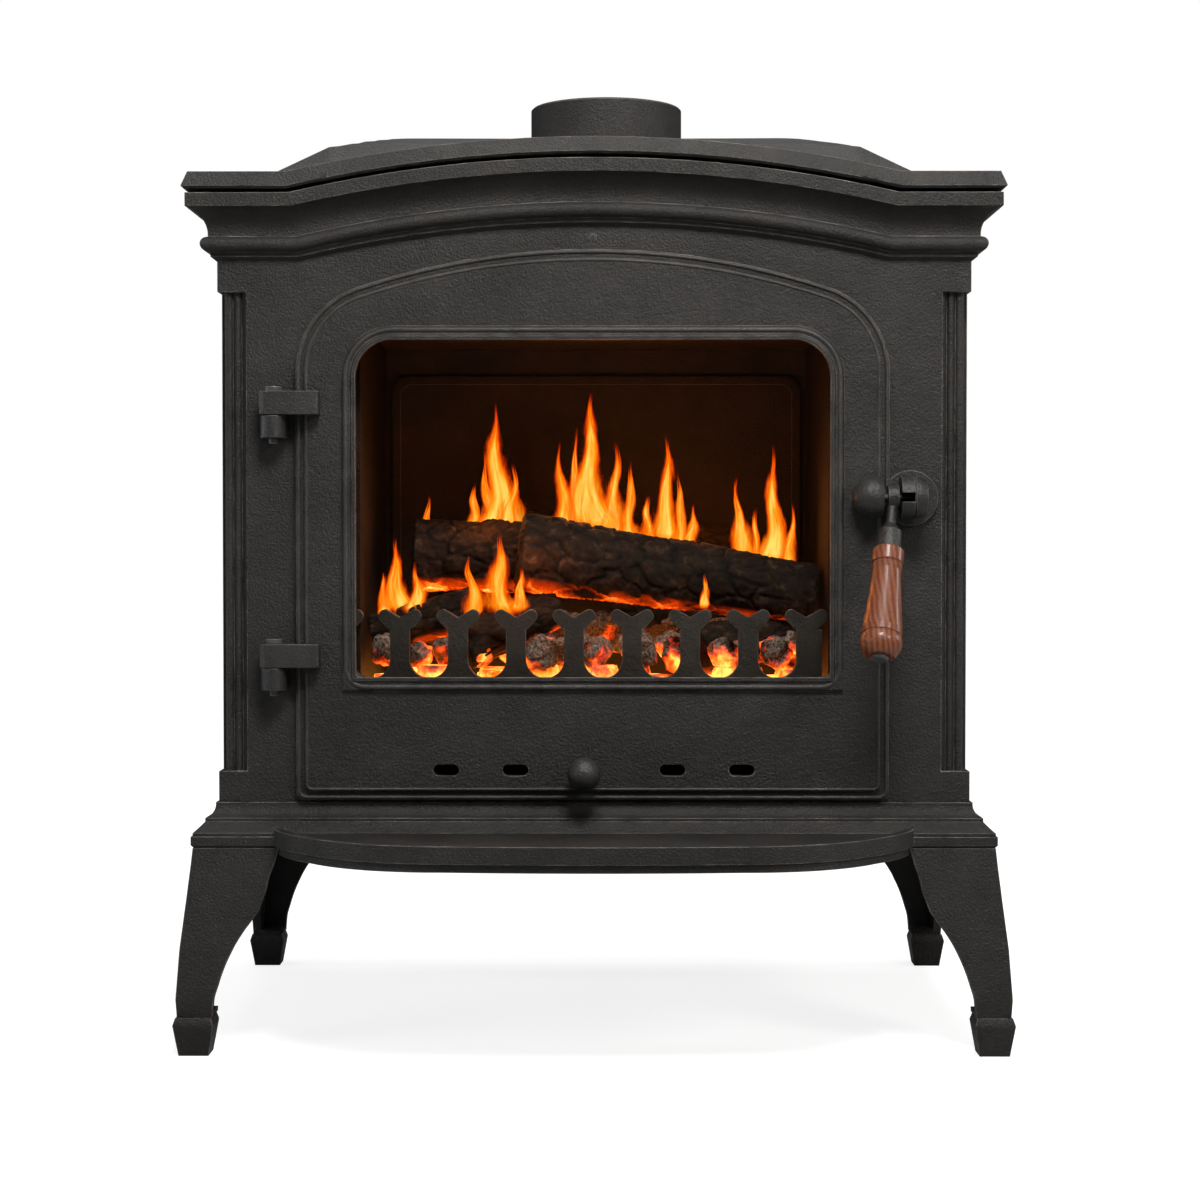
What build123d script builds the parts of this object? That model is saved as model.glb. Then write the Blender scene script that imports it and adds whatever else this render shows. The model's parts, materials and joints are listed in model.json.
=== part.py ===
import os
from math import asin, cos, degrees, pi, radians, sin, sqrt, tan

from build123d import *

# A free-standing cast iron wood stove, in millimetres.
# X runs to the right of someone facing the door, Y from front to back and Z up.
# The origin is on the floor, under the middle of the whole stove.

# Body shell
body_width = 657.0
body_depth = 408.0
leg_height = 179.0
slab_thickness = 10.0
plinth_height = 28.0
shoulder_height = 764.0
plate_thickness = 15.0
plate_out = 27.0
wall = 8.0
front_wall = 10.0
fit_gap = 0.3

# The arch shared by the top plate, the cornice and the front panel
arch_half = 265.0
arch_rise = 30.0

# Cornice moulding: how far each part stands out, and how far down it starts
cornice_drop = 3.3
cornice_height = 57.0
cornice_out = 24.0
fillet_height = 11.5
cove_foot = 36.0
cove_out = 7.0
bead_back = 2.0
bead_drop = 4.0
bead_out = 13.0
bead_height = 13.0

# Reeded corners
block_height_top = 26.0
block_height_bottom = 27.0
recess_width = 25.0
recess_depth = 7.0
reed_radius = 3.6

# Base
base_out = 21.5
plinth_step_out = 10.5
plinth_step_height = 12.0
lip_reach = 127.0
lip_half = 277.0
lip_height = 22.0
lip_drop = 5.0
lip_wall = 9.0
lip_recess = 4.0

# Legs
foot_out = 14.0
foot_size = 35.0
foot_base_size = 26.0
foot_height = 33.0
leg_top_width = 66.0
leg_wall = 8.0
leg_bolt_radius = 4.0

# Door
door_center = -1.3
door_width = 516.6
door_foot_gap = 2.6
door_top_gap = 65.0
door_gap = 0.5
door_rim_depth = 6.0
door_field_depth = 9.5
rim_width = 8.0
door_corner_drop = 107.0
door_corner_radius = 78.0
door_foot_radius = 7.0
door_turn = (0.235, 0.645)
door_arch_foot = (0.72, 0.96)
landing = 12.0

# Window
window_center = -1.0
window_width = 412.0
window_foot_gap = 110.0
window_top_gap = 144.0
window_top_radius = 32.0
window_bottom_radius = 8.0
window_frame_width = 12.0
window_frame_height = 3.5
glass_lap = 12.0
glass_thickness = 4.0
gasket_thickness = 2.0
clip_thickness = 1.5
clip_screw_radius = 1.5
clip_screw_grip = 4.0

# Air slots and slide
slot_length = 22.5
slot_width = 10.0
slot_places = (-128.8, -68.3, 68.3, 128.8)
slot_rise = 29.0
knob_place = -8.6
knob_drop = 2.0
knob_radius = 14.5
stem_radius = 3.5
slide_travel = 9.0
slide_thickness = 3.0

# Hinges
hinge_x = -278.0
hinge_out = 13.0
eye_radius = 11.0
pin_radius = 4.0
pin_clearance = 0.05
strap_rises = (338.0, 119.0)
strap_height = 20.0
strap_thickness = 8.0
strap_reach = 40.0
knuckle_height = 19.0
knuckle_gap = 1.0

# Latch and handle
latch_rise = 266.0
latch_out = 22.5
dome_x = 240.6
dome_radius = 18.0
dome_cut_x = 249.0
lever_left = 253.4
lever_right = 262.8
lever_eye_radius = 11.0
keeper_left = 264.5
keeper_groove = 275.6
keeper_right = 286.8
keeper_radius = 18.5
keeper_plate_radius = 24.0
keeper_plate_thickness = 4.0
keeper_slot = 8.0
spindle_radius = 3.0
handle_tilt = 27.0
handle_lean = 7.0
neck_length = 34.0
ferrule_length = 17.0
ferrule_radius = 10.0
grip_length = 101.0
grip_collar_radius = 13.3
grip_neck_radius = 11.8
grip_belly_radius = 17.3
end_nut_radius = 7.5
end_nut_height = 3.0

# Flue collar
flue_offset = 10.0
flue_radius = 74.0
flue_bore = 67.0
flue_rise = 54.0
flue_flange_height = 5.0

# Firebox
liner_inner = 208.0
liner_thickness = 28.0
fireback_face = 140.0
fireback_thickness = 20.0
grate_rise = 80.0
grate_thickness = 12.0
baffle_drop = 128.0
baffle_thickness = 12.0
fence_front = -122.0
fence_thickness = 9.0
fence_pitch = 51.4
fence_first = -223.5
fence_posts = 9
fence_rail_height = 27.0
fence_height = 88.0
slot_gap = 33.8

# Details of the plate, panels and small parts
plate_bevel = 5.0
plate_chamfer = 2.0
crown_rise = 53.0
crown_bend_rise = 33.5
crown_foot_half = 335.0
crown_bend_half = 268.0
crown_top_half = 207.0
crown_front_start = 15.0
crown_front_slope = 40.0
crown_front_run = 115.0
crown_back_start = 14.0
crown_back_slope = 12.0
crown_back_run = 34.0
post_wall = 24.0
post_depth = 38.0
field_margin = 34.0
field_rise = 3.0
leg_inset = 5.0
leg_flange = 34.0
rope_inset = 3.0
rope_width = 7.0
rope_depth = 3.0
rod_inset = 30.5
rod_radius = 4.0
slide_height = 20.0
guide_width = 3.5
rail_height = 15.0
flue_flange_radius = 90.0
flue_screw_radius = 3.0
flue_from_front = 284.5
ember_height = 29.0
log_sides = 9

# Logs: both ends of the axis with heights above the grate, the radius at each end and the number that
# varies the bark
log_places = (
    ((-192, -20, 53), (-100, -58, 79), 22, 21, 1.0),
    ((-118, -78, 41), (-36, -30, 69), 21, 21, 2.3),
    ((92, -72, 43), (190, -8, 55), 24, 22, 0.4),
    ((-150, 56, 53), (-40, 62, 57), 26, 25, 1.6),
    ((20, 96, 45), (165, 62, 65), 27, 26, 5.0),
    ((-170, 38, 101), (-58, 22, 108), 34, 33, 3.1),
    ((-86, 68, 141), (150, 84, 111), 23, 22, 4.2),
    ((-66, -58, 111), (196, -30, 85), 35, 31, 5.4),
)
log_names = ("low_left", "low_middle", "low_right", "low_back", "low_rear", "back_left", "rear", "front")

# Places worked out from the sizes above
half = body_width / 2
total_depth = lip_reach + 2 * base_out + body_depth + foot_out
front_y = -total_depth / 2 + lip_reach + base_out
back_y = front_y + body_depth
body_bottom = leg_height + slab_thickness + plinth_height
inner_front = front_y + front_wall
inner_back = back_y - wall
inner_half = half - wall
door_bottom = body_bottom + door_foot_gap
door_top = shoulder_height - door_top_gap
door_shoulder = door_top - door_corner_drop
window_bottom = body_bottom + window_foot_gap
window_top = shoulder_height - window_top_gap
slot_height = body_bottom + slot_rise
knob_height = slot_height - knob_drop
strap_bottoms = [body_bottom + rise for rise in strap_rises]
latch_height = body_bottom + latch_rise
flue_top = shoulder_height + crown_rise + flue_rise
grate_top = body_bottom + grate_rise
baffle_bottom = shoulder_height - baffle_drop
fence_rail_top = grate_top + fence_rail_height
fence_top = grate_top + fence_height
apex = shoulder_height + arch_rise
arch_radius = (arch_half ** 2 + arch_rise ** 2) / (2 * arch_rise)
arch_centre_z = apex - arch_radius
arch_angle = degrees(asin(arch_half / arch_radius))
arch_axis = Axis((0, 0, arch_centre_z), (0, 1, 0))
door_back = front_y - door_gap
rim_face = door_back - door_rim_depth
field_face = door_back - door_field_depth
hinge_y = front_y - hinge_out
latch_y = front_y - latch_out
flue_x = flue_offset
flue_y = front_y + flue_from_front
glass_front = door_back - 5.0
clip_face = door_back
slide_face = door_back + 1.0


def block(x0, x1, y0, y1, z0, z1):
    """A box between two corners."""
    return Pos(x0, y0, z0) * Box(x1 - x0, y1 - y0, z1 - z0, align=(Align.MIN, Align.MIN, Align.MIN))


def in_xz(x, z, y):
    return Vector(x, y, z)


def in_yz(y, z, x):
    return Vector(x, y, z)


def in_xy(x, y, z):
    return Vector(x, y, z)


def outline(place, level, steps):
    """A flat face bounded by lines, and by an arc where a step gives its middle point and its end."""
    edges = []
    here = steps[0]
    for step in steps[1:] + (steps[0],):
        if isinstance(step[0], tuple):
            middle, end = step
            edges.append(ThreePointArc(place(*here, level), place(*middle, level), place(*end, level)))
            here = end
        elif step != here:
            edges.append(Line(place(*here, level), place(*step, level)))
            here = step
    return Face(Wire(edges))


def prism(place, low, high, steps):
    """An outline carried straight from one level to another."""
    direction = place(0, 0, 1) - place(0, 0, 0)
    return extrude(outline(place, low, steps), amount=high - low, dir=direction)


def rod(start, direction, length, radius):
    """A round bar from a point along a direction."""
    plane = Plane(origin=start, z_dir=direction)
    return plane * Cylinder(radius, length, align=(Align.CENTER, Align.CENTER, Align.MIN))


def hex_screw(seat, direction, radius, length):
    """A hexagon-headed screw: the head stands on its seat, and the shank runs back the other way."""
    plane = Plane(origin=seat, z_dir=direction)
    head = extrude(plane * RegularPolygon(radius * 1.9, 6), amount=radius * 1.3)
    return head + rod(seat, -Vector(direction), length, radius)


def mirrored(steps):
    """An outline's steps turned over left to right, in reverse order."""
    turned = []
    carried = None
    for step in reversed(steps):
        if isinstance(step[0], tuple):
            middle, end = step
            turned.append(
                (-end[0], end[1]) if carried is None else ((-carried[0], carried[1]), (-end[0], end[1]))
            )
            carried = middle
        else:
            point = (-step[0], step[1])
            turned.append(point if carried is None else ((-carried[0], carried[1]), point))
            carried = None
    return tuple(turned)


def arch_joint(depth):
    """Where the level shoulder meets the arch, at a depth below the plate's top."""
    return sqrt(arch_rise * (2 * (arch_radius - depth) - arch_rise))


def under_arch(depth, reach, low):
    """An outline that is straight below and follows the shoulders and the arch above."""
    x = arch_joint(depth)
    z = shoulder_height - depth
    return ((-reach, low), (-reach, z), (-x, z), ((0, apex - depth), (x, z)), (reach, z), (reach, low))


def arched_run(reach, front_steps, back):
    """A moulding that runs level, over the arch and level again. Its steps are (way out, depth) pairs."""
    def section(x, top):
        def place(out, depth, level):
            return Vector(level, front_y - out, top - depth)
        last = front_steps[-1] if not isinstance(front_steps[-1][0], tuple) else front_steps[-1][1]
        steps = front_steps + ((front_y - back, last[1]), (front_y - back, front_steps[0][1]))
        return outline(place, x, steps)

    spare = 2.0
    turned = section(0, apex).rotate(arch_axis, -arch_angle - spare)
    arch = revolve(turned, arch_axis, 2 * (arch_angle + spare))
    lean = tan(radians(arch_angle / 2))
    clip_up = 40.0
    clip_down = 140.0
    corners = (
        (-arch_half - lean * clip_up, shoulder_height + clip_up),
        (-arch_half + lean * clip_down, shoulder_height - clip_down),
        (arch_half - lean * clip_down, shoulder_height - clip_down),
        (arch_half + lean * clip_up, shoulder_height + clip_up),
    )
    middle = prism(in_xz, front_y - base_out * 4, back + base_out, corners)
    level = extrude(section(-reach, shoulder_height), amount=2 * reach, dir=(1, 0, 0)) - middle
    joined = (arch & middle).solids()[0].fuse(*level.solids(), tol=0.05)
    return joined.solids()[0]


def crown_outline(foot, bend, top, floor, bend_z, top_z):
    """The section of the raised crown: a straight slope that rounds over to a flat top. Each of foot,
    bend and top is a pair: where that point lies on the near side and on the far side."""
    swell = (0.48, 0.63)
    rise = top_z - bend_z
    near = (bend[0] + swell[0] * (top[0] - bend[0]), bend_z + swell[1] * rise)
    far = (bend[1] + swell[0] * (top[1] - bend[1]), bend_z + swell[1] * rise)
    return (
        (foot[0], floor),
        (foot[0], shoulder_height - plate_thickness / 2),
        (bend[0], bend_z),
        (near, (top[0], top_z)),
        (top[1], top_z),
        (far, (bend[1], bend_z)),
        (foot[1], shoulder_height - plate_thickness / 2),
        (foot[1], floor),
    )


def crown(inset, floor):
    """The crown's block, or the same shape drawn in by a wall for the hollow under it."""
    bend_z = shoulder_height + crown_bend_rise - inset
    top_z = shoulder_height + crown_rise - inset
    slope = inset * 0.6
    foot = min(crown_foot_half - slope, inner_half - 2.0) if inset else crown_foot_half
    bend = crown_bend_half - slope
    top = crown_top_half - slope
    across = crown_outline((-foot, foot), (-bend, bend), (-top, top), floor, bend_z, top_z)
    front = front_y + crown_front_start + inset
    back = back_y - crown_back_start - inset
    along = crown_outline(
        (front, back),
        (front + crown_front_slope, back - crown_back_slope),
        (front + crown_front_run, back - crown_back_run),
        floor, bend_z, top_z,
    )
    side = crown_foot_half + base_out
    return prism(in_xz, front_y, back_y, across) & prism(in_yz, -side, side, along)


def top_plate():
    """The arched lid with its bevelled edge and raised crown, hollow underneath."""
    reach = half + plate_out
    bevel_foot = plate_thickness - plate_chamfer
    edge = (
        (plate_out - plate_bevel, 0.0),
        (plate_out, bevel_foot),
        (plate_out - plate_chamfer, plate_thickness),
    )
    run = arched_run(reach, edge, back_y + plate_out)
    left = (
        (-reach + plate_bevel, apex + 1),
        (-reach + plate_bevel, shoulder_height),
        (-reach, shoulder_height - bevel_foot),
        (-reach + plate_chamfer, shoulder_height - plate_thickness),
        (-reach + plate_chamfer, shoulder_height - plate_thickness - 1),
    )
    sides = prism(in_xz, front_y - plate_out - 1, back_y + plate_out + 1, left + mirrored(left))
    lid = (run & sides) + crown(0.0, shoulder_height - plate_thickness / 2)
    lid = lid - crown(wall, shoulder_height - 2 * plate_thickness)
    bore = Pos(flue_x, flue_y, shoulder_height + crown_rise) * Cylinder(flue_bore, 4 * wall)
    screws = [rod(p, (0, 0, -1), 3 * wall, flue_screw_radius + fit_gap) for p in flue_screw_places()]
    return lid - bore - screws


def flue_screw_places():
    """The middle of each screw head's seat on the collar's flange."""
    z = shoulder_height + crown_rise + flue_flange_height
    ring = (flue_radius + flue_flange_radius) / 2
    turns = [radians(45 + 90 * i) for i in range(4)]
    return [Vector(flue_x + ring * cos(a), flue_y + ring * sin(a), z) for a in turns]


def flue_collar():
    """A short spigot with a flange, turned up from the crown for the flue pipe."""
    base = shoulder_height + crown_rise
    rim = 1.5
    steps = (
        (flue_bore, base),
        (flue_flange_radius, base),
        (flue_flange_radius, base + flue_flange_height),
        (flue_radius, base + flue_flange_height),
        (flue_radius, flue_top - rim),
        (flue_radius - rim, flue_top),
        (flue_bore, flue_top),
    )
    collar = Pos(flue_x, flue_y, 0) * revolve(outline(in_xz, 0, steps), Axis.Z, 360)
    holes = [
        rod(p + Vector(0, 0, 1), (0, 0, -1), 3 * wall, flue_screw_radius + fit_gap)
        for p in flue_screw_places()
    ]
    return collar - holes


def flue_screws():
    return [
        hex_screw(p, (0, 0, 1), flue_screw_radius, flue_flange_height + wall) for p in flue_screw_places()
    ]


def cornice_edge():
    """The cornice's section as (way out, depth) steps, from its top edge down."""
    d = cornice_drop + plate_thickness
    f = d + fillet_height
    c = d + cove_foot
    b = c + bead_height
    return (
        (cornice_out, d),
        (cornice_out, f),
        ((cornice_out * 0.5, f + (c - f) * 0.33), (cove_out, c)),
        ((bead_out, (c + b) / 2), (cove_out, b)),
        (cove_out - bead_back, b),
        (cove_out - bead_back, b + bead_drop),
        (0.0, d + cornice_height),
    )


def cornice():
    """The moulded frieze: a frame open at the back that follows the arch and turns along both sides."""
    edge = cornice_edge()
    reach = half + cornice_out
    run = arched_run(reach, edge, back_y)

    def side(step):
        return (-half - step[0], shoulder_height - step[1])

    left = [(-reach, apex)]
    for step in edge:
        left.append((side(step[0]), side(step[1])) if isinstance(step[0], tuple) else side(step))
    left = tuple(left) + ((-half, shoulder_height - 2 * cornice_height),)
    returns = prism(in_xz, front_y - reach, back_y, left + mirrored(left))
    frame = run & returns
    inside = block(-half, half, front_y, back_y + 1, body_bottom, apex)
    return frame - inside


def reeds(side):
    """The reeded recess of one front corner: what is cut away, less three upright reeds."""
    low = body_bottom + block_height_bottom
    high = shoulder_height - plate_thickness - cornice_drop - cornice_height - block_height_top
    edge = side * half
    x0, x1 = sorted((edge + side, edge - side * recess_width))
    front_cut = block(x0, x1, front_y - 1, front_y + recess_depth, low, high)
    x2, x3 = sorted((edge + side, edge - side * recess_depth))
    side_cut = block(x2, x3, front_y - 1, front_y + recess_width, low, high)
    cut = front_cut + side_cut
    rows = []
    floor_y = front_y + recess_depth
    for i in range(3):
        x = edge - side * (recess_depth + reed_radius * (0.6 + 2.1 * i))
        rows.append(
            Pos(x, floor_y + 0.6, low) * Cylinder(
                reed_radius, high - low, align=(Align.CENTER, Align.CENTER, Align.MIN)
            ),
        )
    for i in range(2):
        y = front_y + recess_depth + reed_radius * (2.3 + 2.1 * i)
        x = edge - side * (recess_depth + 0.6)
        rows.append(
            Pos(x, y, low) * Cylinder(
                reed_radius, high - low, align=(Align.CENTER, Align.CENTER, Align.MIN)
            ),
        )
    return cut - rows


def door_outline(inset):
    """The door's outline, drawn in by an inset: straight sides, quarter-round shoulders, a shallow arch."""
    r = door_corner_radius - inset
    left = door_center - door_width / 2 + inset
    right = door_center + door_width / 2 - inset
    bottom = door_bottom + inset
    turn_in, turn_z = r * door_turn[0], door_shoulder + r * door_turn[1]
    arch_in, arch_z = r * door_arch_foot[0], door_shoulder + r * door_arch_foot[1]
    return (
        (left, bottom),
        (left, door_shoulder),
        ((left + turn_in, turn_z), (left + arch_in, arch_z)),
        ((door_center, door_top - inset), (right - arch_in, arch_z)),
        ((right - turn_in, turn_z), (right, door_shoulder)),
        (right, bottom),
    )


def front_panel():
    """The front casting: a plate with the doorway cut in it and a reeded post at each corner."""
    depth = plate_thickness
    top = under_arch(depth, half, body_bottom)
    plate = prism(in_xz, front_y, inner_front, top)
    for side in (-1, 1):
        x0, x1 = sorted((side * half, side * (half - post_wall)))
        plate += block(x0, x1, inner_front, front_y + post_depth, body_bottom, shoulder_height - depth)
    plate = plate - reeds(-1) - reeds(1)
    doorway = extrude(door_face(landing, front_y - front_wall), amount=4 * front_wall, dir=(0, 1, 0))
    return plate - doorway


def door_face(inset, y):
    """The door's outline as a face with its two lowest corners rounded."""
    face = outline(in_xz, y, door_outline(inset))
    feet = [v for v in face.vertices() if v.Z < door_bottom + inset + fit_gap]
    return face.fillet_2d(door_foot_radius, feet)


def side_panel(side):
    """A side casting with a raised field, lapped behind the front post and the back panel."""
    x0, x1 = sorted((side * half, side * inner_half))
    y0 = front_y + post_depth
    top = shoulder_height - plate_thickness
    panel = block(x0, x1, y0, back_y, body_bottom, top)
    x2, x3 = sorted((side * half, side * (half + field_rise)))
    m = field_margin
    high = top - cornice_drop - cornice_height - m
    field = block(x2, x3, y0 + m, back_y - m, body_bottom + m, high)
    outer = [e for e in field.edges() if abs(e.center().X - side * (half + field_rise)) < 0.01]
    return panel + chamfer(outer, field_rise - 0.5)


def back_panel():
    """The rear casting between the side panels, with a raised field on the outside."""
    top = shoulder_height - plate_thickness
    panel = prism(in_xz, inner_back, back_y, under_arch(plate_thickness, inner_half, body_bottom))
    m = field_margin
    field = block(
        -inner_half + m, inner_half - m, back_y, back_y + field_rise, body_bottom + m, top - 2 * m
    )
    outer = [e for e in field.edges() if abs(e.center().Y - back_y - field_rise) < 0.01]
    return panel + chamfer(outer, field_rise - 0.5)


def plinth():
    """The moulded base frame under the body, closed on top and open underneath."""
    top = body_bottom
    mid = top - plinth_height + plinth_step_height
    low = top - plinth_height
    a = plinth_step_out
    b = base_out - 1.5

    def edge(sign, face):
        def out(d, z):
            return (face + sign * d, z)
        return (
            out(0, top),
            out(2.5, top),
            (out(5.0, mid + 7), out(a, mid + 3)),
            out(a, mid),
            (out(a + 4.0, mid - 4), out(b, low + 3)),
            out(b, low),
        )

    left = edge(-1, -half)
    front = edge(-1, front_y)
    across = left + mirrored(left)
    along = front + ((back_y + b, low), (back_y + b, mid), (back_y, top))
    reach = half + 2 * base_out
    solid = prism(in_xz, front_y - reach, back_y + reach, across) & prism(in_yz, -reach, reach, along)
    pocket = block(-inner_half, inner_half, inner_front, inner_back, low - 1, top - wall)
    return solid - pocket


def lip_outline(inset):
    """The ash lip in plan: it leaves the slab in a reverse curve and bows out to the front."""
    root = front_y - base_out
    front = root - lip_reach + inset
    h = lip_half - inset
    return (
        (-h, root + 1),
        (-h, root - 1),
        ((-h + 10, root - 26), (-h + 36, root - 62)),
        ((-h + 82, root - lip_reach * 0.8), (-h + 150, front + 6)),
        ((0, front), (h - 150, front + 6)),
        ((h - 82, root - lip_reach * 0.8), (h - 36, root - 62)),
        ((h - 10, root - 26), (h, root - 1)),
        (h, root + 1),
    )


def hearth_plate():
    """The base slab with the ash lip in front: a shallow tray with a stepped rim."""
    reach = half + base_out
    low = leg_height
    slab = block(-reach, reach, front_y - base_out, back_y + base_out, low, low + slab_thickness)
    slab = chamfer(slab.edges().group_by(Axis.Z)[0], 2.5)
    lip_low = low - lip_drop
    lip_high = lip_low + lip_height
    third = lip_height / 3
    bands = ((0.0, lip_low + third, 2 * third), (4.0, lip_low, third))
    for inset, z, tall in bands:
        slab += extrude(outline(in_xy, z, lip_outline(inset)), amount=tall, dir=(0, 0, 1))
    tray = extrude(
        outline(in_xy, lip_high - lip_recess, lip_outline(lip_wall)), amount=2 * lip_recess, dir=(0, 0, 1)
    )
    slab = slab - tray
    holes = [
        rod(Vector(x, y, low - 1), (0, 0, 1), 2 * slab_thickness, leg_bolt_radius + fit_gap)
        for x, y in leg_bolt_places()
    ]
    return slab - holes


def leg_bolt_places():
    x = half + base_out - leg_inset - leg_wall - leg_flange / 2
    y0 = front_y - base_out + leg_inset + leg_wall + leg_flange / 2
    y1 = back_y + base_out - leg_inset - leg_wall - leg_flange / 2
    return [(sx * x, y) for sx in (-1, 1) for y in (y0, y1)]


def leg(side, end):
    """A corner leg of L section: two webs that sweep in to a block foot, with a bolting flange on top."""
    outer = half + base_out - leg_inset
    out = foot_out + leg_inset
    ankle = foot_height

    def silhouette(draw):
        """The leg from the front, measured inward from the slab's edge; draw takes the hollow's outline."""
        w = leg_wall if draw else 0.0
        inner = leg_top_width + (60 if draw else 0)
        foot_in = foot_size - out - 2
        return (
            (w, leg_height),
            (w - out + 3.5, ankle - 3 + (8 if draw else 0)),
            (foot_in + (60 if draw else 0), ankle - 3 + (8 if draw else 0)),
            (
                (leg_top_width * 0.40 + inner - leg_top_width, ankle + 55),
                (leg_top_width * 0.72 + inner - leg_top_width, leg_height - 55),
            ),
            (inner, leg_height),
        )

    def both(draw):
        xs = tuple(swap(s, lambda u: side * (outer - u)) for s in silhouette(draw))
        face = back_y + base_out - leg_inset if end > 0 else front_y - base_out + leg_inset
        ys = tuple(swap(s, lambda u: face - end * u) for s in silhouette(draw))
        span = 2 * half
        return prism(in_xz, -span, span, xs) & prism(in_yz, -span, span, ys)

    web = both(False) - both(True)
    cx = side * (outer + out - foot_size / 2)
    face = back_y + base_out - leg_inset if end > 0 else front_y - base_out + leg_inset
    cy = face + end * (out - foot_size / 2)
    sizes = ((foot_base_size, 0.0), (foot_size, foot_height - 6), (foot_size - 4, foot_height))
    rings = [Plane(origin=(cx, cy, z)) * Rectangle(s, s) for s, z in sizes]
    foot = loft(rings, ruled=True)
    x0, x1 = sorted((side * (outer - leg_wall + 1), side * (outer - leg_wall - leg_flange)))
    y0, y1 = sorted((face - end * (leg_wall - 1), face - end * (leg_wall + leg_flange)))
    flange = block(x0, x1, y0, y1, leg_height - leg_wall, leg_height)
    holes = [
        rod(Vector(x, y, leg_height + 1), (0, 0, -1), 3 * leg_wall, leg_bolt_radius + fit_gap)
        for x, y in leg_bolt_places()
    ]
    return web + foot + flange - holes


def swap(step, place):
    """A silhouette step with its first coordinate moved to where the leg stands."""
    if isinstance(step[0], tuple):
        return tuple((place(u), z) for u, z in step)
    return (place(step[0]), step[1])


def leg_bolts():
    z = leg_height - leg_wall
    return [
        hex_screw(Vector(x, y, z), (0, 0, -1), leg_bolt_radius, leg_wall + slab_thickness - 1)
        for x, y in leg_bolt_places()
    ]


def window_face(grow, y):
    """The window's outline with large upper corners and small lower ones."""
    w = window_width / 2 + grow
    face = outline(in_xz, y, ((window_center - w, window_bottom - grow), (
        window_center - w, window_top + grow
    ),
 
                                  (window_center + w, window_top + grow),
                                  (window_center + w, window_bottom - grow)),
                              )
    upper = [v for v in face.vertices() if v.Z > window_top]
    lower = [v for v in face.vertices() if v.Z < window_bottom + 1]
    upper = upper or [v for v in face.vertices() if v.Z > window_top - 1]
    return face.fillet_2d(window_top_radius + grow, upper).fillet_2d(window_bottom_radius + grow, lower)


def door_casting():
    """The door leaf: a rim band, a raised field, a beaded window frame, air slots and the stem's slot."""
    leaf = extrude(door_face(0, rim_face), amount=door_rim_depth, dir=(0, 1, 0))
    field = extrude(door_face(rim_width, field_face), amount=door_rim_depth, dir=(0, 1, 0))
    front_edges = [e for e in field.edges() if abs(e.center().Y - field_face) < 0.01]
    leaf += chamfer(front_edges, (door_field_depth - door_rim_depth) * 0.8)
    for grow, rise in (
        (window_frame_width, window_frame_height), (window_frame_width * 0.45, window_frame_height * 1.5)
    ):
        bead = extrude(window_face(grow, field_face - rise), amount=rise + 2, dir=(0, 1, 0))
        crest = [e for e in bead.edges() if abs(e.center().Y - field_face + rise) < 0.01]
        leaf += chamfer(crest, rise * 0.45)
    leaf = leaf - extrude(window_face(0, field_face - 20), amount=60, dir=(0, 1, 0))
    leaf = leaf - extrude(window_face(glass_lap, glass_front - gasket_thickness), amount=30, dir=(0, 1, 0))
    for x in slot_places:
        leaf -= vent(x, slot_height, slot_length, slot_width, 0)
    stem_slot = 2 * (slide_travel + stem_radius) + 1
    leaf -= vent(knob_place, knob_height, stem_slot, 2 * stem_radius + 1, 0)
    latch_bore = rod(
        Vector(dome_x - dome_radius, latch_y, latch_height),
        (1, 0, 0),
        3 * dome_radius,
        spindle_radius + pin_clearance,
    )
    dome = Pos(dome_x, latch_y, latch_height) * Sphere(dome_radius)
    stalk = rod(Vector(dome_x, latch_y, latch_height), (0, 1, 0), field_face - latch_y, dome_radius * 0.7)
    cap = dome - block(
        dome_cut_x,
        dome_x + 2 * dome_radius,
        latch_y - 50,
        latch_y + 50,
        latch_height - 50,
        latch_height + 50,
    )
    cap -= block(0, half, field_face, back_y, latch_height - 50, latch_height + 50)
    for seat in clip_screw_seats():
        leaf -= rod(seat, (0, -1, 0), clip_thickness + clip_screw_grip + 1, clip_screw_radius)
    return leaf - door_rope(), (cap + stalk) - latch_bore


def vent(x, z, length, width, grow):
    y = field_face - 30
    face = Plane(origin=(x, y, z), x_dir=(1, 0, 0), z_dir=(0, -1, 0)) * SlotOverall(
        length + grow, width + grow
    )
    return extrude(face, amount=60, dir=(0, 1, 0))


def glass():
    return extrude(window_face(glass_lap - 1, glass_front), amount=glass_thickness, dir=(0, 1, 0))


def glass_gasket():
    outer = window_face(glass_lap - 1, glass_front - gasket_thickness)
    band = extrude(outer, amount=gasket_thickness, dir=(0, 1, 0))
    return band - extrude(window_face(1, glass_front - 10), amount=30, dir=(0, 1, 0))


def clip_places():
    w = window_width / 2
    tall = (window_top - window_bottom) / 4
    rows = [window_bottom + tall, window_top - tall]
    sides = [(window_center + s * (w + glass_lap), z, s, 0) for s in (-1, 1) for z in rows]
    ends = [(window_center + s * w / 2, window_bottom - glass_lap, 0, -1) for s in (-1, 1)]
    return sides + ends + [(window_center + s * w / 2, window_top + glass_lap, 0, 1) for s in (-1, 1)]


def glass_clips():
    """Flat clips screwed to the back of the door, reaching over the glass."""
    clips = []
    for x, z, sx, sz in clip_places():
        cx, cz = x + sx * 4, z + sz * 4
        wide, tall = (22, 14) if sx else (14, 22)
        plate = block(
            cx - wide / 2,
            cx + wide / 2,
            clip_face,
            clip_face + clip_thickness,
            cz - tall / 2,
            cz + tall / 2,
        )
        clips.append(
            plate - rod(
                Vector(cx + sx * 6, clip_face - 1, cz + sz * 6), (0, 1, 0), 5, clip_screw_radius + fit_gap
            ),
        )
    return clips


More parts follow.
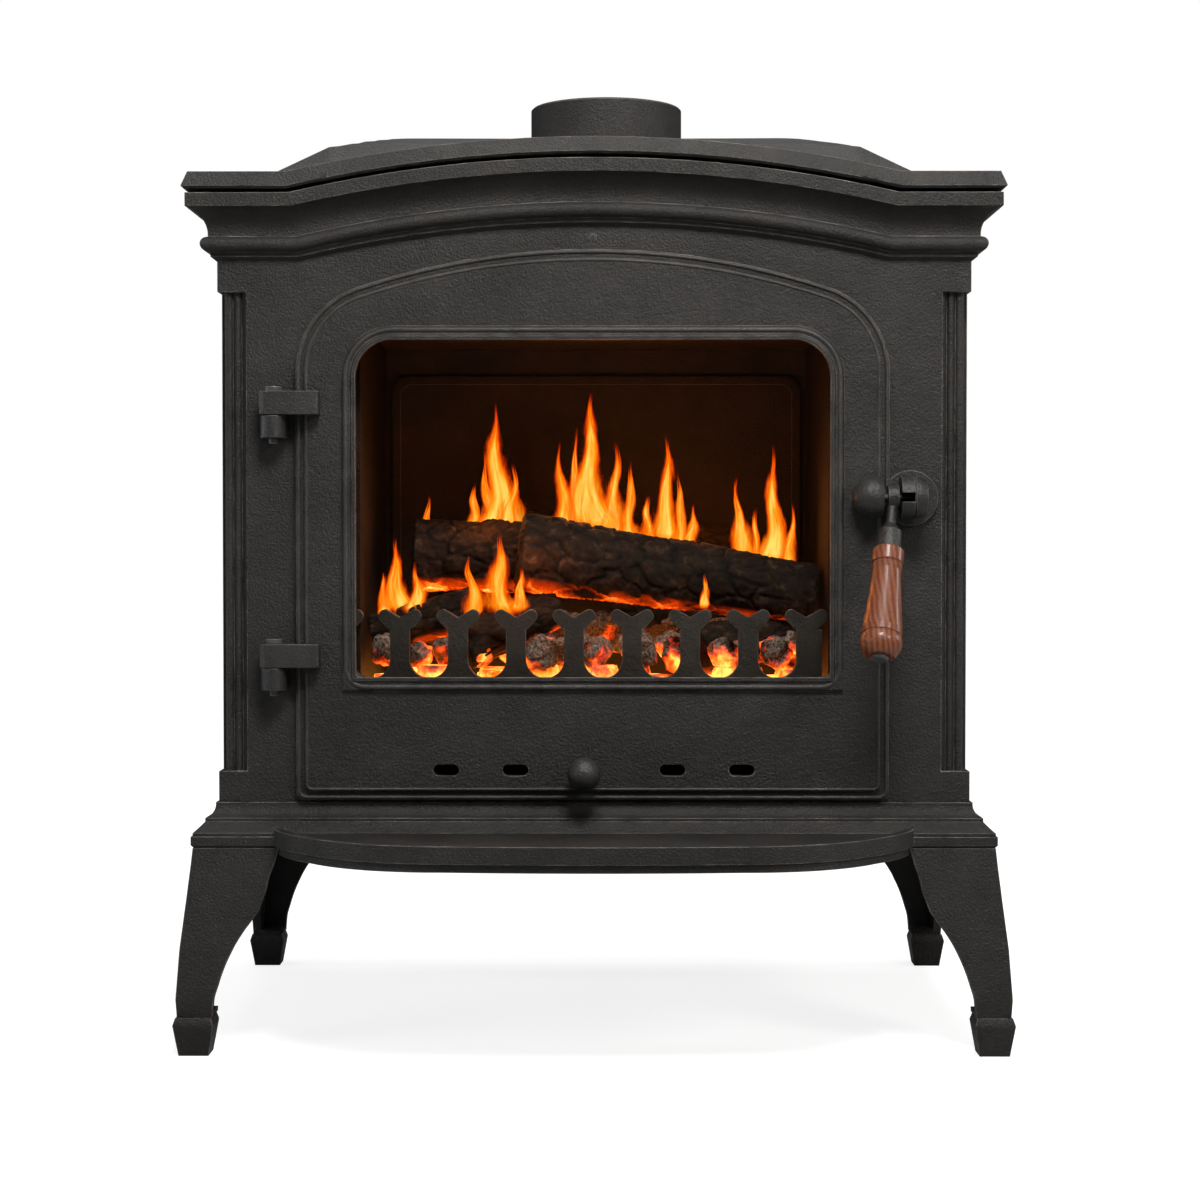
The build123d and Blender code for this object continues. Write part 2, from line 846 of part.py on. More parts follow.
def clip_screw_seats():
    return [Vector(x + sx * 10, clip_face + clip_thickness, z + sz * 10) for x, z, sx, sz in clip_places()]


def clip_screws():
    length = clip_thickness + clip_screw_grip
    return [hex_screw(seat, (0, 1, 0), clip_screw_radius, length) for seat in clip_screw_seats()]


def door_rope():
    """The rope seal round the back of the door, which presses on the front panel."""
    outer = extrude(
        door_face(rope_inset, door_back - rope_depth), amount=rope_depth + door_gap - fit_gap, dir=(0, 1, 0)
    )
    return outer - extrude(door_face(rope_inset + rope_width, door_back - 10), amount=30, dir=(0, 1, 0))


def air_slide():
    """The sliding damper plate behind the air slots, with its own row of matching slots."""
    y = slide_face
    reach = slot_places[-1] + slot_length
    plate = block(
        -reach,
        reach,
        y,
        y + slide_thickness,
        slot_height - slide_height / 2,
        slot_height + slide_height / 2,
    )
    for x in slot_places:
        plate -= vent(x, slot_height, slot_length, slot_width, 0)
    return plate


def slide_guides():
    """Two rails that hold the damper plate to the back of the door."""
    reach = slot_places[-1] + slot_length + slide_travel + 4.0
    rails = []
    for s in (-1, 1):
        near = slot_height + s * (slide_height / 2 + fit_gap)
        far = near + s * guide_width
        lap = near - s * guide_width
        z0, z1 = sorted((near, far))
        z2, z3 = sorted((lap, far))
        y = slide_face + slide_thickness + fit_gap
        rails.append(block(-reach, reach, door_back, y, z0, z1) + block(-reach, reach, y, y + 1.5, z2, z3))
    return rails


def air_knob():
    """The ball knob with its collar, and the stem that reaches the damper plate."""
    y = field_face - knob_radius - 2
    ball = Pos(knob_place, y, knob_height) * Sphere(knob_radius)
    collar = rod(Vector(knob_place, field_face - fit_gap, knob_height), (0, -1, 0), 3, knob_radius * 0.62)
    stem = rod(Vector(knob_place, y, knob_height), (0, 1, 0), slide_face - y, stem_radius)
    return ball + collar + stem


def hinge_strap(bottom):
    """A door strap: a flat bar ending in the eye that turns on the hinge pin."""
    eye = Pos(hinge_x, hinge_y, bottom) * Cylinder(
        eye_radius, strap_height, align=(Align.CENTER, Align.CENTER, Align.MIN)
    )
    bar = block(
        hinge_x,
        hinge_x + strap_reach,
        field_face - strap_thickness,
        field_face,
        bottom,
        bottom + strap_height,
    )
    ends = [
        e
        for e in bar.edges().filter_by(Axis.Z) if e.center().X > hinge_x + 1 and e.center().Y < field_face - 1
    ]
    bar = chamfer(ends, 2.5)
    return (eye + bar) - rod(
        Vector(hinge_x, hinge_y, bottom - 1), (0, 0, 1), 2 * strap_height, pin_radius + pin_clearance
    )


def hinge_knuckle(bottom):
    """The panel's half of a hinge: a knuckle under the strap, on a foot that flares to the panel."""
    top = bottom - knuckle_gap
    low = top - knuckle_height
    barrel = Pos(hinge_x, hinge_y, low) * Cylinder(
        eye_radius, knuckle_height, align=(Align.CENTER, Align.CENTER, Align.MIN)
    )
    steps = (
        (hinge_x - eye_radius + 2, hinge_y),
        (hinge_x - eye_radius - 3, front_y),
        (hinge_x + eye_radius + 1, front_y),
        (hinge_x + eye_radius - 2, hinge_y),
    )
    foot = prism(in_xy, low, top, steps)
    return (barrel + foot) - rod(
        Vector(hinge_x, hinge_y, low - 1), (0, 0, 1), 2 * knuckle_height, pin_radius
    )


def hinge_pins():
    pins = []
    for bottom in strap_bottoms:
        low = bottom - knuckle_gap - knuckle_height - 5
        top = bottom + strap_height + fit_gap
        pin = rod(Vector(hinge_x, hinge_y, low), (0, 0, 1), top - low, pin_radius)
        pins.append(pin + rod(Vector(hinge_x, hinge_y, top), (0, 0, 1), 4, pin_radius + 3))
    return pins


def latch_keeper():
    """The keeper on the panel: a backing disc, a neck and a domed drum slotted open to the front."""
    middle = Vector((keeper_left + keeper_right) / 2, front_y, latch_height)
    disc = rod(middle, (0, -1, 0), keeper_plate_thickness, keeper_plate_radius)
    neck = rod(middle, (0, -1, 0), front_y - latch_y, (keeper_right - keeper_left) / 2 - 1)
    start = Vector(keeper_left, latch_y, latch_height)
    drum = rod(start, (1, 0, 0), keeper_groove - keeper_left, keeper_radius)
    core = rod(start, (1, 0, 0), keeper_groove - keeper_left + 2, keeper_radius - 2)
    cap = Pos(keeper_groove + 1.2, latch_y, latch_height) * Sphere(keeper_radius)
    reach = 2 * keeper_radius
    cap -= block(
        0, keeper_groove + 1.2, latch_y - reach, latch_y + reach, latch_height - reach, latch_height + reach
    )
    cap -= block(
        keeper_right, half, latch_y - reach, latch_y + reach, latch_height - reach, latch_height + reach
    )
    cap -= block(0, half, front_y, latch_y + 2 * reach, latch_height - reach, latch_height + reach)
    slot = block(
        keeper_left - 1,
        keeper_groove,
        latch_y - 30,
        latch_y + 6,
        latch_height - keeper_slot / 2,
        latch_height + keeper_slot / 2,
    )
    under_door = block(
        0, door_center + door_width / 2 + 1, latch_y, front_y, latch_height - reach, latch_height + reach
    )
    return (drum + core + cap + neck + (disc - under_door)) - slot


def handle_frame():
    """The handle's own plane: at the pivot, with its axis hanging down, out and a little to the left."""
    x = (lever_left + lever_right) / 2
    tilt = radians(handle_tilt)
    lean = radians(handle_lean)
    axis = Vector(-sin(lean), -sin(tilt) * cos(lean), -cos(tilt) * cos(lean))
    return Vector(x, latch_y, latch_height), axis


def on_handle(steps):
    """A round piece turned on the handle's axis, from (distance, radius) steps in order."""
    origin, axis = handle_frame()
    plane = Plane(origin=origin, z_dir=axis)
    low = steps[0][0]
    last = steps[-1] if not isinstance(steps[-1][0], tuple) else steps[-1][1]

    def flip(step):
        return tuple((r, d) for d, r in step) if isinstance(step[0], tuple) else (step[1], step[0])
    shape = ((0.0, low),) + tuple(flip(s) for s in steps) + ((0.0, last[0]),)
    return plane * revolve(outline(in_xz, 0, shape), Axis.Z, 360)


def handle_lever():
    """The lever: an eye on the spindle, a neck and the ferrule that carries the grip."""
    origin, axis = handle_frame()
    eye = rod(
        Vector(lever_left, latch_y, latch_height), (1, 0, 0), lever_right - lever_left, lever_eye_radius
    )
    end = neck_length + ferrule_length
    neck = on_handle(
        ((2.0, 4.3), (neck_length - 8, 4.3), (neck_length, ferrule_radius), (end, ferrule_radius))
    )
    spindle_end = keeper_groove - 2
    start = dome_x - dome_radius * 0.6
    spindle = rod(Vector(start, latch_y, latch_height), (1, 0, 0), spindle_end - start, spindle_radius)
    tang = on_handle(((end - 1, 3.5), (end + grip_length - 1, 3.5)))
    return eye + neck + spindle + tang


def handle_grip():
    """The turned wooden grip on its steel tang."""
    s = neck_length + ferrule_length
    e = s + grip_length
    steps = (
        (s, grip_collar_radius - 1.5),
        (s + 1.5, grip_collar_radius),
        (s + 13, grip_collar_radius),
        (s + 14.5, grip_collar_radius - 1.2),
        (s + 16, grip_collar_radius),
        (s + 21, grip_neck_radius + 0.4),
        ((s + 50, grip_neck_radius + 2.6), (s + 76, grip_belly_radius)),
        (s + 81, grip_belly_radius - 0.3),
        (s + 82, grip_belly_radius - 1.0),
        (s + 83, grip_belly_radius - 0.3),
        ((e - 4, grip_belly_radius - 2.2), (e, grip_belly_radius - 6)),
        (e, end_nut_radius + 0.5),
        (e - 2, end_nut_radius + 0.5),
    )
    bore = on_handle(((s - 5, 3.5), (e + 5, 3.5)))
    return on_handle(steps) - bore


def handle_end_nut():
    e = neck_length + ferrule_length + grip_length
    nut = on_handle(
        (
            (e - 2, end_nut_radius),
            (e + end_nut_height - 1.5, end_nut_radius),
            (e + end_nut_height, end_nut_radius - 1.5),
        ),
    )
    return nut - on_handle(((e - 5, 3.5), (e - 1, 3.5)))


def liner(side):
    x0, x1 = sorted((side * liner_inner, side * (liner_inner + liner_thickness)))
    return block(x0, x1, fence_front + fence_thickness + 2, fireback_face, grate_top, baffle_bottom)


def fireback():
    """The cast fireback with a raised rounded border."""
    reach = liner_inner + liner_thickness
    plate = block(
        -reach, reach, fireback_face, fireback_face + fireback_thickness, grate_top, baffle_bottom
    )
    border = block(
        -liner_inner + 6, liner_inner - 6, fireback_face - 4, fireback_face, grate_top, baffle_bottom - 27
    )
    inner = block(
        -liner_inner + 14,
        liner_inner - 14,
        fireback_face - 5,
        fireback_face,
        grate_top - 1,
        baffle_bottom - 35,
    )
    tops = [e for e in border.edges().filter_by(Axis.Y) if e.center().Z > grate_top + 1]
    wells = [e for e in inner.edges().filter_by(Axis.Y) if e.center().Z > grate_top + 1]
    return plate + (fillet(tops, 18) - fillet(wells, 12))


def baffle():
    reach = liner_inner + liner_thickness
    return block(
        -reach,
        reach,
        inner_front + 90,
        fireback_face + fireback_thickness,
        baffle_bottom,
        baffle_bottom + baffle_thickness,
    )


def grate():
    """The firebox floor: a full plate with a barred panel over the ash pan."""
    low = grate_top - grate_thickness
    plate = block(-inner_half + 1, inner_half - 1, inner_front + 1, inner_back - 1, low, grate_top)
    for s in (-1, 1):
        x0, x1 = sorted((s * half, s * (half - post_wall - 1)))
        plate -= block(x0, x1, front_y, front_y + post_depth + 1, low - 1, grate_top + 1)
    for i in range(-8, 9):
        plate -= block(i * 18 - 4, i * 18 + 4, -60, 110, low - 1, grate_top + 1)
    return plate


def grate_ledges():
    """Angle ledges bolted to the side panels, which carry the firebox floor."""
    ledges = []
    z = grate_top - grate_thickness
    for s in (-1, 1):
        x0, x1 = sorted((s * inner_half, s * (inner_half - 25)))
        x2, x3 = sorted((s * inner_half, s * (inner_half - 5)))
        y0, y1 = inner_front + 30, inner_back - 30
        ledges.append(block(x0, x1, y0, y1, z - 5, z) + block(x2, x3, y0, y1, z - 30, z - 5))
    return ledges


def log_fence():
    """The row of two-eared posts on a rail that keeps the logs off the glass."""
    low = grate_top
    posts = [fence_first + fence_pitch * i for i in range(fence_posts)]
    lo = posts[0] - fence_pitch / 2 + 12
    hi = posts[-1] + fence_pitch / 2 - 12
    fence = block(lo, hi, fence_front, fence_front + fence_thickness, low, fence_top - 18)
    for x in posts:
        w = (fence_pitch - slot_gap) / 2
        head = (
            (x - w, fence_top - 30), (x - w, fence_top - 19), (x - 18, fence_top - 9),
            ((x - 17.5, fence_top - 2), (x - 12, fence_top)), (x, fence_top - 7),
            (x + 12, fence_top), ((x + 17.5, fence_top - 2), (x + 18, fence_top - 9)),
            (x + w, fence_top - 19), (x + w, fence_top - 30),
        )
        fence += prism(in_xz, fence_front, fence_front + fence_thickness, head)
    for x in [p + fence_pitch / 2 for p in posts[:-1]]:
        r = slot_gap / 2
        slot = (
            (x - r, fence_top - 19), (x - r, fence_rail_top + r),
            ((x, fence_rail_top), (x + r, fence_rail_top + r)), (x + r, fence_top - 19),
            (x + r, fence_top - 17), (x - r, fence_top - 17),
        )
        fence -= prism(in_xz, fence_front - 5, fence_front + 20, slot)
    return fence


def ash_pan():
    """The sheet ash pan with a turned-out front lip."""
    low = body_bottom + rail_height
    pan = block(-170, 170, -95, 130, low, low + 42)
    pan -= block(-168, 168, -93, 128, low + 2, low + 60)
    return pan + block(-20, 20, -107, -95, low + 30, low + 32)


def ash_rails():
    return [
        block(s * 120 - 6, s * 120 + 6, -100, 140, body_bottom, body_bottom + rail_height) for s in (-1, 1)
    ]


def tie_rods():
    """Four long studs that clamp the top plate down to the firebox floor."""
    rods = []
    for sx in (-1, 1):
        for y in (inner_front + rod_radius + 2.5, inner_back - rod_radius - 2.5):
            x = sx * (inner_half - rod_inset)
            top = shoulder_height - plate_thickness
            rods.append(rod(Vector(x, y, grate_top), (0, 0, 1), top - grate_top, rod_radius))
    return rods


def timber(start, finish, r0, r1, seed):
    """A charred log: a ruled loft through uneven rings along its length."""
    floor = Vector(0, 0, grate_top)
    a, b = floor + Vector(*start), floor + Vector(*finish)
    axis = b - a
    rings = []
    for i in range(4):
        t = i / 3
        r = r0 + (r1 - r0) * t
        plane = Plane(origin=a + axis * t, z_dir=axis)
        points = []
        for k in range(log_sides):
            swell = 1 + 0.07 * sin(3.1 * k + 1.7 * i + seed) + 0.04 * sin(7.3 * k + seed * 2)
            turn = 2 * pi * k / log_sides
            points.append((r * swell * cos(turn), r * swell * sin(turn)))
        rings.append(plane * make_face(Polyline(*points, close=True)))
    return loft(rings, ruled=True)


def logs():
    """The logs, each cut where it rests on one laid before it."""
    laid = []
    for place in log_places:
        piece = timber(*place)
        for other in laid:
            piece = piece - other
        laid.append(piece.solids().sort_by(SortBy.VOLUME)[-1])
    return laid


def ember_bed(laid):
    """The bed of coals on the grate: a low heap with lumps standing out of it, hollowed under the logs."""
    heap = None
    for i in range(9):
        for j in range(4):
            x = -180 + 45 * i + 7 * sin(5.1 * i + 2.3 * j)
            y = -92 + 46 * j + 6 * cos(3.7 * i + j)
            size = 17 + 3.5 * sin(2.9 * i + 4.1 * j)
            tall = ember_height + 9 * sin(1.9 * i + 2.7 * j)
            lump = Pos(x, y, grate_top) * extrude(
                RegularPolygon(size * 1.55, 6, rotation=25 * i + 40 * j), amount=tall, taper=14
            )
            heap = lump if heap is None else heap + lump
    front = fence_front + fence_thickness + 2
    side = liner_inner - 4
    heap += block(-side, side, front, fireback_face - 8, grate_top, grate_top + 12)
    for log in laid:
        heap = heap - log
    trough = block(-side - 1, side + 1, front - 1, fireback_face - 6, grate_top, grate_top + 90)
    return (heap & trough).solids().sort_by(SortBy.VOLUME)[-1]


def save(name, shape):
    """Write one sub-part, as one solid or as a group of separate ones."""
    pieces = list(shape) if isinstance(shape, (list, tuple)) else [shape]
    solids = [s for p in pieces for s in p.solids()]
    whole = solids[0] if len(solids) == 1 else Compound(children=solids)
    export_step(whole, "parts/" + name + ".step")


def main():
    os.makedirs("parts", exist_ok=True)
    leaf, boss = door_casting()
    laid = logs()
    made = {
        "top_plate": top_plate(),
        "flue_collar": flue_collar(),
        "flue_screws": flue_screws(),
        "cornice": cornice(),
        "front_panel": front_panel(),
        "side_panel_left": side_panel(-1),
        "side_panel_right": side_panel(1),
        "back_panel": back_panel(),
        "plinth": plinth(),
        "hearth_plate": hearth_plate(),
        "leg_bolts": leg_bolts(),
        "tie_rods": tie_rods(),
        "liner_left": liner(-1),
        "liner_right": liner(1),
        "fireback": fireback(),
        "baffle_plate": baffle(),
        "grate": grate(),
        "grate_ledges": grate_ledges(),
        "log_fence": log_fence(),
        "ash_pan": ash_pan(),
        "ash_rails": ash_rails(),
        "ember_bed": ember_bed(laid),
        "hinge_pins": hinge_pins(),
        "latch_keeper": latch_keeper(),
        "door_casting": leaf,
        "latch_boss": boss,
        "door_glass": glass(),
        "glass_gasket": glass_gasket(),
        "glass_clips": glass_clips(),
        "clip_screws": clip_screws(),
        "door_rope": door_rope(),
        "slide_guides": slide_guides(),
        "handle_lever": handle_lever(),
        "handle_grip": handle_grip(),
        "handle_end_nut": handle_end_nut(),
        "air_slide": air_slide(),
        "air_knob": air_knob(),
    }
    for name, x in (("left", -1), ("right", 1)):
        for end, y in (("front", -1), ("back", 1)):
            made["leg_" + end + "_" + name] = leg(x, y)
    for i, bottom in enumerate(strap_bottoms):
        made["hinge_strap_" + ("upper", "lower")[i]] = hinge_strap(bottom)
        made["hinge_knuckle_" + ("upper", "lower")[i]] = hinge_knuckle(bottom)
    for i, piece in enumerate(laid):
        made["log_" + log_names[i]] = piece
    for name, shape in made.items():
        save(name, shape)


main()
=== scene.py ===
# %% [markdown]
# A cast iron stove, dressed for a render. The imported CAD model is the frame. Nearly every casting keeps its
# shape and place, and this script gives it a finish, adds the fire, and sets the light and the camera. The
# lid, the legs and the logs are redrawn here, each from its own solid or in its place. Most lengths are in
# millimetres, and MM turns them into metres where a mesh is made.

# %% Load the frame
import json
import math

import bmesh
import bpy
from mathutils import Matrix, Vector, noise


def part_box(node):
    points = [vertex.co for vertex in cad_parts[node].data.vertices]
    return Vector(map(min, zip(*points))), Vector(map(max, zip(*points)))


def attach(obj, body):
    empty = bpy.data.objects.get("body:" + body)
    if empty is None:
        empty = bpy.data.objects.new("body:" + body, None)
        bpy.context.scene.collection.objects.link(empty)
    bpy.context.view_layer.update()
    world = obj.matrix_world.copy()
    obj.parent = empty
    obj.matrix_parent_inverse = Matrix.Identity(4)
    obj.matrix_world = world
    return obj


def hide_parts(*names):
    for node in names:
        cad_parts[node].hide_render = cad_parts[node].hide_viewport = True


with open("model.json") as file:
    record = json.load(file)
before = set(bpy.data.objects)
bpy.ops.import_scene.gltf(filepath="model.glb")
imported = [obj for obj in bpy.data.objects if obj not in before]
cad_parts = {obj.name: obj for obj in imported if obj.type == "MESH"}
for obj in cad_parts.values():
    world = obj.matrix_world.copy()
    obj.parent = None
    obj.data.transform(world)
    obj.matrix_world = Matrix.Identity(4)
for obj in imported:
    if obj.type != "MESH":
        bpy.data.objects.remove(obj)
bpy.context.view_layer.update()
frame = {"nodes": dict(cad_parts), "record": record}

nodes = frame["nodes"]
MM = 0.001


# %% [markdown]
# Materials are built from a few small helpers: one starts a material with its shader, one adds a node with
# its settings, and one adds a texture on Object coordinates. Object coordinates are used all through,
# because a pattern then stays fixed to its piece when the door swings, where one on the view would slide.

# %% Shader helpers
def new_material(name):
    material = bpy.data.materials.new(name)
    material.use_nodes = True
    tree = material.node_tree
    shader = tree.nodes["Principled BSDF"]
    return material, tree, shader


def add(tree, kind, values=None, **settings):
    node = tree.nodes.new(kind)
    for key, value in settings.items():
        setattr(node, key, value)
    for key, value in (values or {}).items():
        node.inputs[key].default_value = value
    return node


def object_noise(tree, scale, detail=4.0, roughness=0.55, stretch=(1, 1, 1)):
    place = add(tree, "ShaderNodeTexCoord")
    mapping = add(tree, "ShaderNodeMapping", {"Scale": stretch})
    texture = add(tree, "ShaderNodeTexNoise", {"Scale": scale, "Detail": detail, "Roughness": roughness})
    tree.links.new(place.outputs["Object"], mapping.inputs["Vector"])
    tree.links.new(mapping.outputs["Vector"], texture.inputs["Vector"])
    return texture


def ramp(tree, source, stops):
    node = add(tree, "ShaderNodeValToRGB")
    elements = node.color_ramp.elements
    while len(elements) < len(stops):
        elements.new(0.5)
    for element, (place, colour) in zip(elements, stops):
        element.position = place
        element.color = (*colour, 1.0)
    tree.links.new(source, node.inputs["Fac"])
    return node


def blend_colour(tree, factor, first, second, mode="MIX"):
    node = add(tree, "ShaderNodeMix", data_type="RGBA", blend_type=mode)
    pairs = (("Factor", factor), ("A", first), ("B", second))
    for socket, value in ((node.inputs[key], value) for key, value in pairs):
        if hasattr(value, "is_output"):
            tree.links.new(value, socket)
        elif isinstance(value, tuple):
            socket.default_value = (*value, 1.0)
        else:
            socket.default_value = value
    for output in node.outputs:
        if output.type == "RGBA":
            return output
    return node.outputs["Result"]


def maths(tree, operation, first, second=0.5, clamp=False):
    node = add(tree, "ShaderNodeMath", operation=operation, use_clamp=clamp)
    for socket, value in ((node.inputs[0], first), (node.inputs[1], second)):
        if hasattr(value, "is_output"):
            tree.links.new(value, socket)
        else:
            socket.default_value = value
    return node.outputs[0]


def grain_bump(tree, shader, sources, edge_radius=0.0):
    """Chain bumps, each a (height, strength, distance), onto softened edges."""
    normal = None
    if edge_radius:
        soft = add(tree, "ShaderNodeBevel", {"Radius": edge_radius}, samples=6)
        normal = soft.outputs["Normal"]
    for height, strength, distance in sources:
        bump = add(tree, "ShaderNodeBump", {"Strength": strength, "Distance": distance})
        tree.links.new(height, bump.inputs["Height"])
        if normal is not None:
            tree.links.new(normal, bump.inputs["Normal"])
        normal = bump.outputs["Normal"]
    tree.links.new(normal, shader.inputs["Normal"])


# %% [markdown]
# Sand-cast iron under matte stove paint has a pebbled skin, a slight brown cast in its hollows and a paler
# rub along its edges. That pale edge band is partly worn paint and partly a painted highlight on every edge.
# It could be painted by hand, but it would have to be painted again whenever a casting changed. Here it
# comes from comparing a softened normal with the true one, which differ only at an edge.

# %% Cast iron
def edge_mask(tree, radius, gain):
    soft = add(tree, "ShaderNodeBevel", {"Radius": radius}, samples=6)
    true = add(tree, "ShaderNodeNewGeometry")
    dot = add(tree, "ShaderNodeVectorMath", operation="DOT_PRODUCT")
    tree.links.new(soft.outputs["Normal"], dot.inputs[0])
    tree.links.new(true.outputs["Normal"], dot.inputs[1])
    off = maths(tree, "SUBTRACT", 1.0, dot.outputs["Value"])
    return maths(tree, "MULTIPLY", off, gain, clamp=True)


def cast_iron(name, dark, pale, edge, roughness=0.5, grain=0.5, edge_radius=0.0012):
    material, tree, shader = new_material(name)
    mottle = object_noise(tree, 14.0, 5.0)
    cloud = object_noise(tree, 60.0, 4.0, 0.6)
    speck = object_noise(tree, 700.0, 3.0, 0.7)
    pebble = object_noise(tree, 480.0, 3.0, 0.65)
    dents = object_noise(tree, 160.0, 3.0, 0.5)
    base = ramp(tree, mottle.outputs["Fac"], ((0.3, dark), (0.7, pale)))
    colour = blend_colour(tree, 0.5, base.outputs["Color"], cloud.outputs["Fac"], "OVERLAY")
    # Pale flecks on the grain are painted glints; the same specks are also made glossier below
    painted_glint_fleck = ramp(tree, speck.outputs["Fac"], ((0.55, (0, 0, 0)), (0.75, (0.55, 0.55, 0.55))))
    colour = blend_colour(tree, painted_glint_fleck.outputs["Color"], colour, tuple(c * 2.4 for c in pale))
    # The pale edge band: partly worn paint, partly a painted highlight along each edge
    edge_wear_and_highlight = edge_mask(tree, edge_radius, 5.0)
    patches = ramp(tree, cloud.outputs["Fac"], ((0.35, (0.15,) * 3), (0.65, (1,) * 3)))
    patchy_edge_wear_and_highlight = maths(tree, "MULTIPLY", edge_wear_and_highlight, patches.outputs["Color"])
    colour = blend_colour(tree, patchy_edge_wear_and_highlight, colour, edge)
    tree.links.new(colour, shader.inputs["Base Color"])
    gloss = ramp(tree, speck.outputs["Fac"], ((0.3, (roughness + 0.12,) * 3), (0.75, (roughness - 0.1,) * 3)))
    tree.links.new(gloss.outputs["Color"], shader.inputs["Roughness"])
    shader.inputs["Metallic"].default_value = 0.15
    shader.inputs["Specular IOR Level"].default_value = 0.32
    dented = (dents.outputs["Fac"], grain * 0.6, 0.0016)
    pebbled = (pebble.outputs["Fac"], min(grain * 1.7, 1.0), 0.0016)
    grain_bump(tree, shader, (dented, pebbled), edge_radius)
    return material


# Each finish has its dark, its pale and its edge colour (worn paint and a painted edge highlight), then how
# rough it is and how strong its grain
iron = cast_iron("matte_black_iron", (0.0070, 0.0065, 0.0061), (0.0165, 0.0152, 0.0142), (0.28, 0.26, 0.24))
sooty = cast_iron("sooty_iron", (0.006, 0.0045, 0.0035), (0.018, 0.012, 0.009), (0.07, 0.045, 0.03), 0.55)
paler_smoother_iron = cast_iron("paler_smoother_cast_iron", (0.012, 0.012, 0.012), (0.028, 0.0275, 0.027), (0.2, 0.2, 0.19),
                     0.38, 0.3)
steel = cast_iron("blackened_steel", (0.03, 0.03, 0.03), (0.07, 0.07, 0.07), (0.3, 0.3, 0.3), 0.36, 0.1)
brick = cast_iron("smoked_firebrick", (0.004, 0.003, 0.002), (0.012, 0.008, 0.006), (0.03, 0.02, 0.012),
                  0.6, 0.9)
brick_shader = brick.node_tree.nodes["Principled BSDF"]
brick_shader.inputs["Metallic"].default_value = 0.0
brick_shader.inputs["Specular IOR Level"].default_value = 0.12
print("iron finishes made")


# %% [markdown]
# The grip is turned hardwood with a thin varnish. Its grain runs along the handle, so a wave pattern is
# stretched that way and turned to the handle's lean with a Mapping node. The door's seal is a rope of glass
# fibre. The glass is a clear sheet with a little gloss: a refracting shader would darken the fire behind it.

# %% Wood, rope and glass
def grip_wood():
    material, tree, shader = new_material("varnished_hardwood")
    place = add(tree, "ShaderNodeTexCoord")
    turn = add(tree, "ShaderNodeMapping", {"Rotation": (math.radians(-27), math.radians(7), 0)})
    bands = {"Scale": 70.0, "Distortion": 4.0, "Detail": 3.0, "Detail Scale": 0.8}
    wave = add(tree, "ShaderNodeTexWave", bands, wave_type="BANDS", bands_direction="X")
    squeeze = add(tree, "ShaderNodeMapping", {"Scale": (1.0, 1.0, 0.06)})
    tree.links.new(place.outputs["Object"], turn.inputs["Vector"])
    tree.links.new(turn.outputs["Vector"], squeeze.inputs["Vector"])
    tree.links.new(squeeze.outputs["Vector"], wave.inputs["Vector"])
    pores = add(tree, "ShaderNodeTexNoise", {"Scale": 900.0, "Detail": 2.0})
    tree.links.new(squeeze.outputs["Vector"], pores.inputs["Vector"])
    browns = ((0.0, (0.085, 0.020, 0.007)), (0.5, (0.13, 0.034, 0.011)), (1.0, (0.18, 0.052, 0.017)))
    tone = ramp(tree, wave.outputs["Fac"], browns)
    pore = ramp(tree, pores.outputs["Fac"], ((0.35, (0.45, 0.45, 0.45)), (0.5, (1, 1, 1))))
    colour = blend_colour(tree, 0.7, tone.outputs["Color"], pore.outputs["Color"], "MULTIPLY")
    tree.links.new(colour, shader.inputs["Base Color"])
    shader.inputs["Roughness"].default_value = 0.5
    shader.inputs["Specular IOR Level"].default_value = 0.3
    shader.inputs["Coat Weight"].default_value = 0.18
    shader.inputs["Coat Roughness"].default_value = 0.15
    grain_bump(tree, shader, ((pores.outputs["Fac"], 0.12, 0.0004),), 0.0006)
    return material


def seal_rope():
    material, tree, shader = new_material("glass_fibre_seal")
    weave = object_noise(tree, 700.0, 2.0, 0.6, (1, 0.4, 1))
    tone = ramp(tree, weave.outputs["Fac"], ((0.35, (0.03, 0.03, 0.03)), (0.65, (0.14, 0.14, 0.13))))
    tree.links.new(tone.outputs["Color"], shader.inputs["Base Color"])
    shader.inputs["Roughness"].default_value = 0.9
    grain_bump(tree, shader, ((weave.outputs["Fac"], 0.8, 0.001),))
    return material


def stove_glass():
    material, tree, shader = new_material("stove_glass")
    output = tree.nodes["Material Output"]
    tree.nodes.remove(shader)
    clear = add(tree, "ShaderNodeBsdfTransparent", {"Color": (0.95, 0.93, 0.90, 1.0)})
    gloss = add(tree, "ShaderNodeBsdfGlossy", {"Roughness": 0.06, "Color": (1, 1, 1, 1)})
    fresnel = add(tree, "ShaderNodeFresnel", {"IOR": 1.12})
    mix = add(tree, "ShaderNodeMixShader")
    tree.links.new(fresnel.outputs["Fac"], mix.inputs["Fac"])
    tree.links.new(clear.outputs[0], mix.inputs[1])
    tree.links.new(gloss.outputs[0], mix.inputs[2])
    tree.links.new(mix.outputs[0], output.inputs["Surface"])
    return material


wood = grip_wood()
rope = seal_rope()
glass = stove_glass()

# %% [markdown]
# Every casting of the frame now gets its finish. The CAD record names a material slot for each node, so
# the finish is looked up there, and a few pieces that hands and tools rub get a paler, smoother one. The log
# fence gets it too, as a painted highlight: its paler iron stands in for the firelight on it.

# %% Finish every CAD node
finishes = {
    "iron": iron, "sooty_iron": sooty, "steel": steel, "firebrick": brick,
    "glass": glass, "rope": rope, "grip_wood": wood,
}
slot_of = {entry["node"]: entry["material_slot"] for entry in frame["record"]["subparts"]}
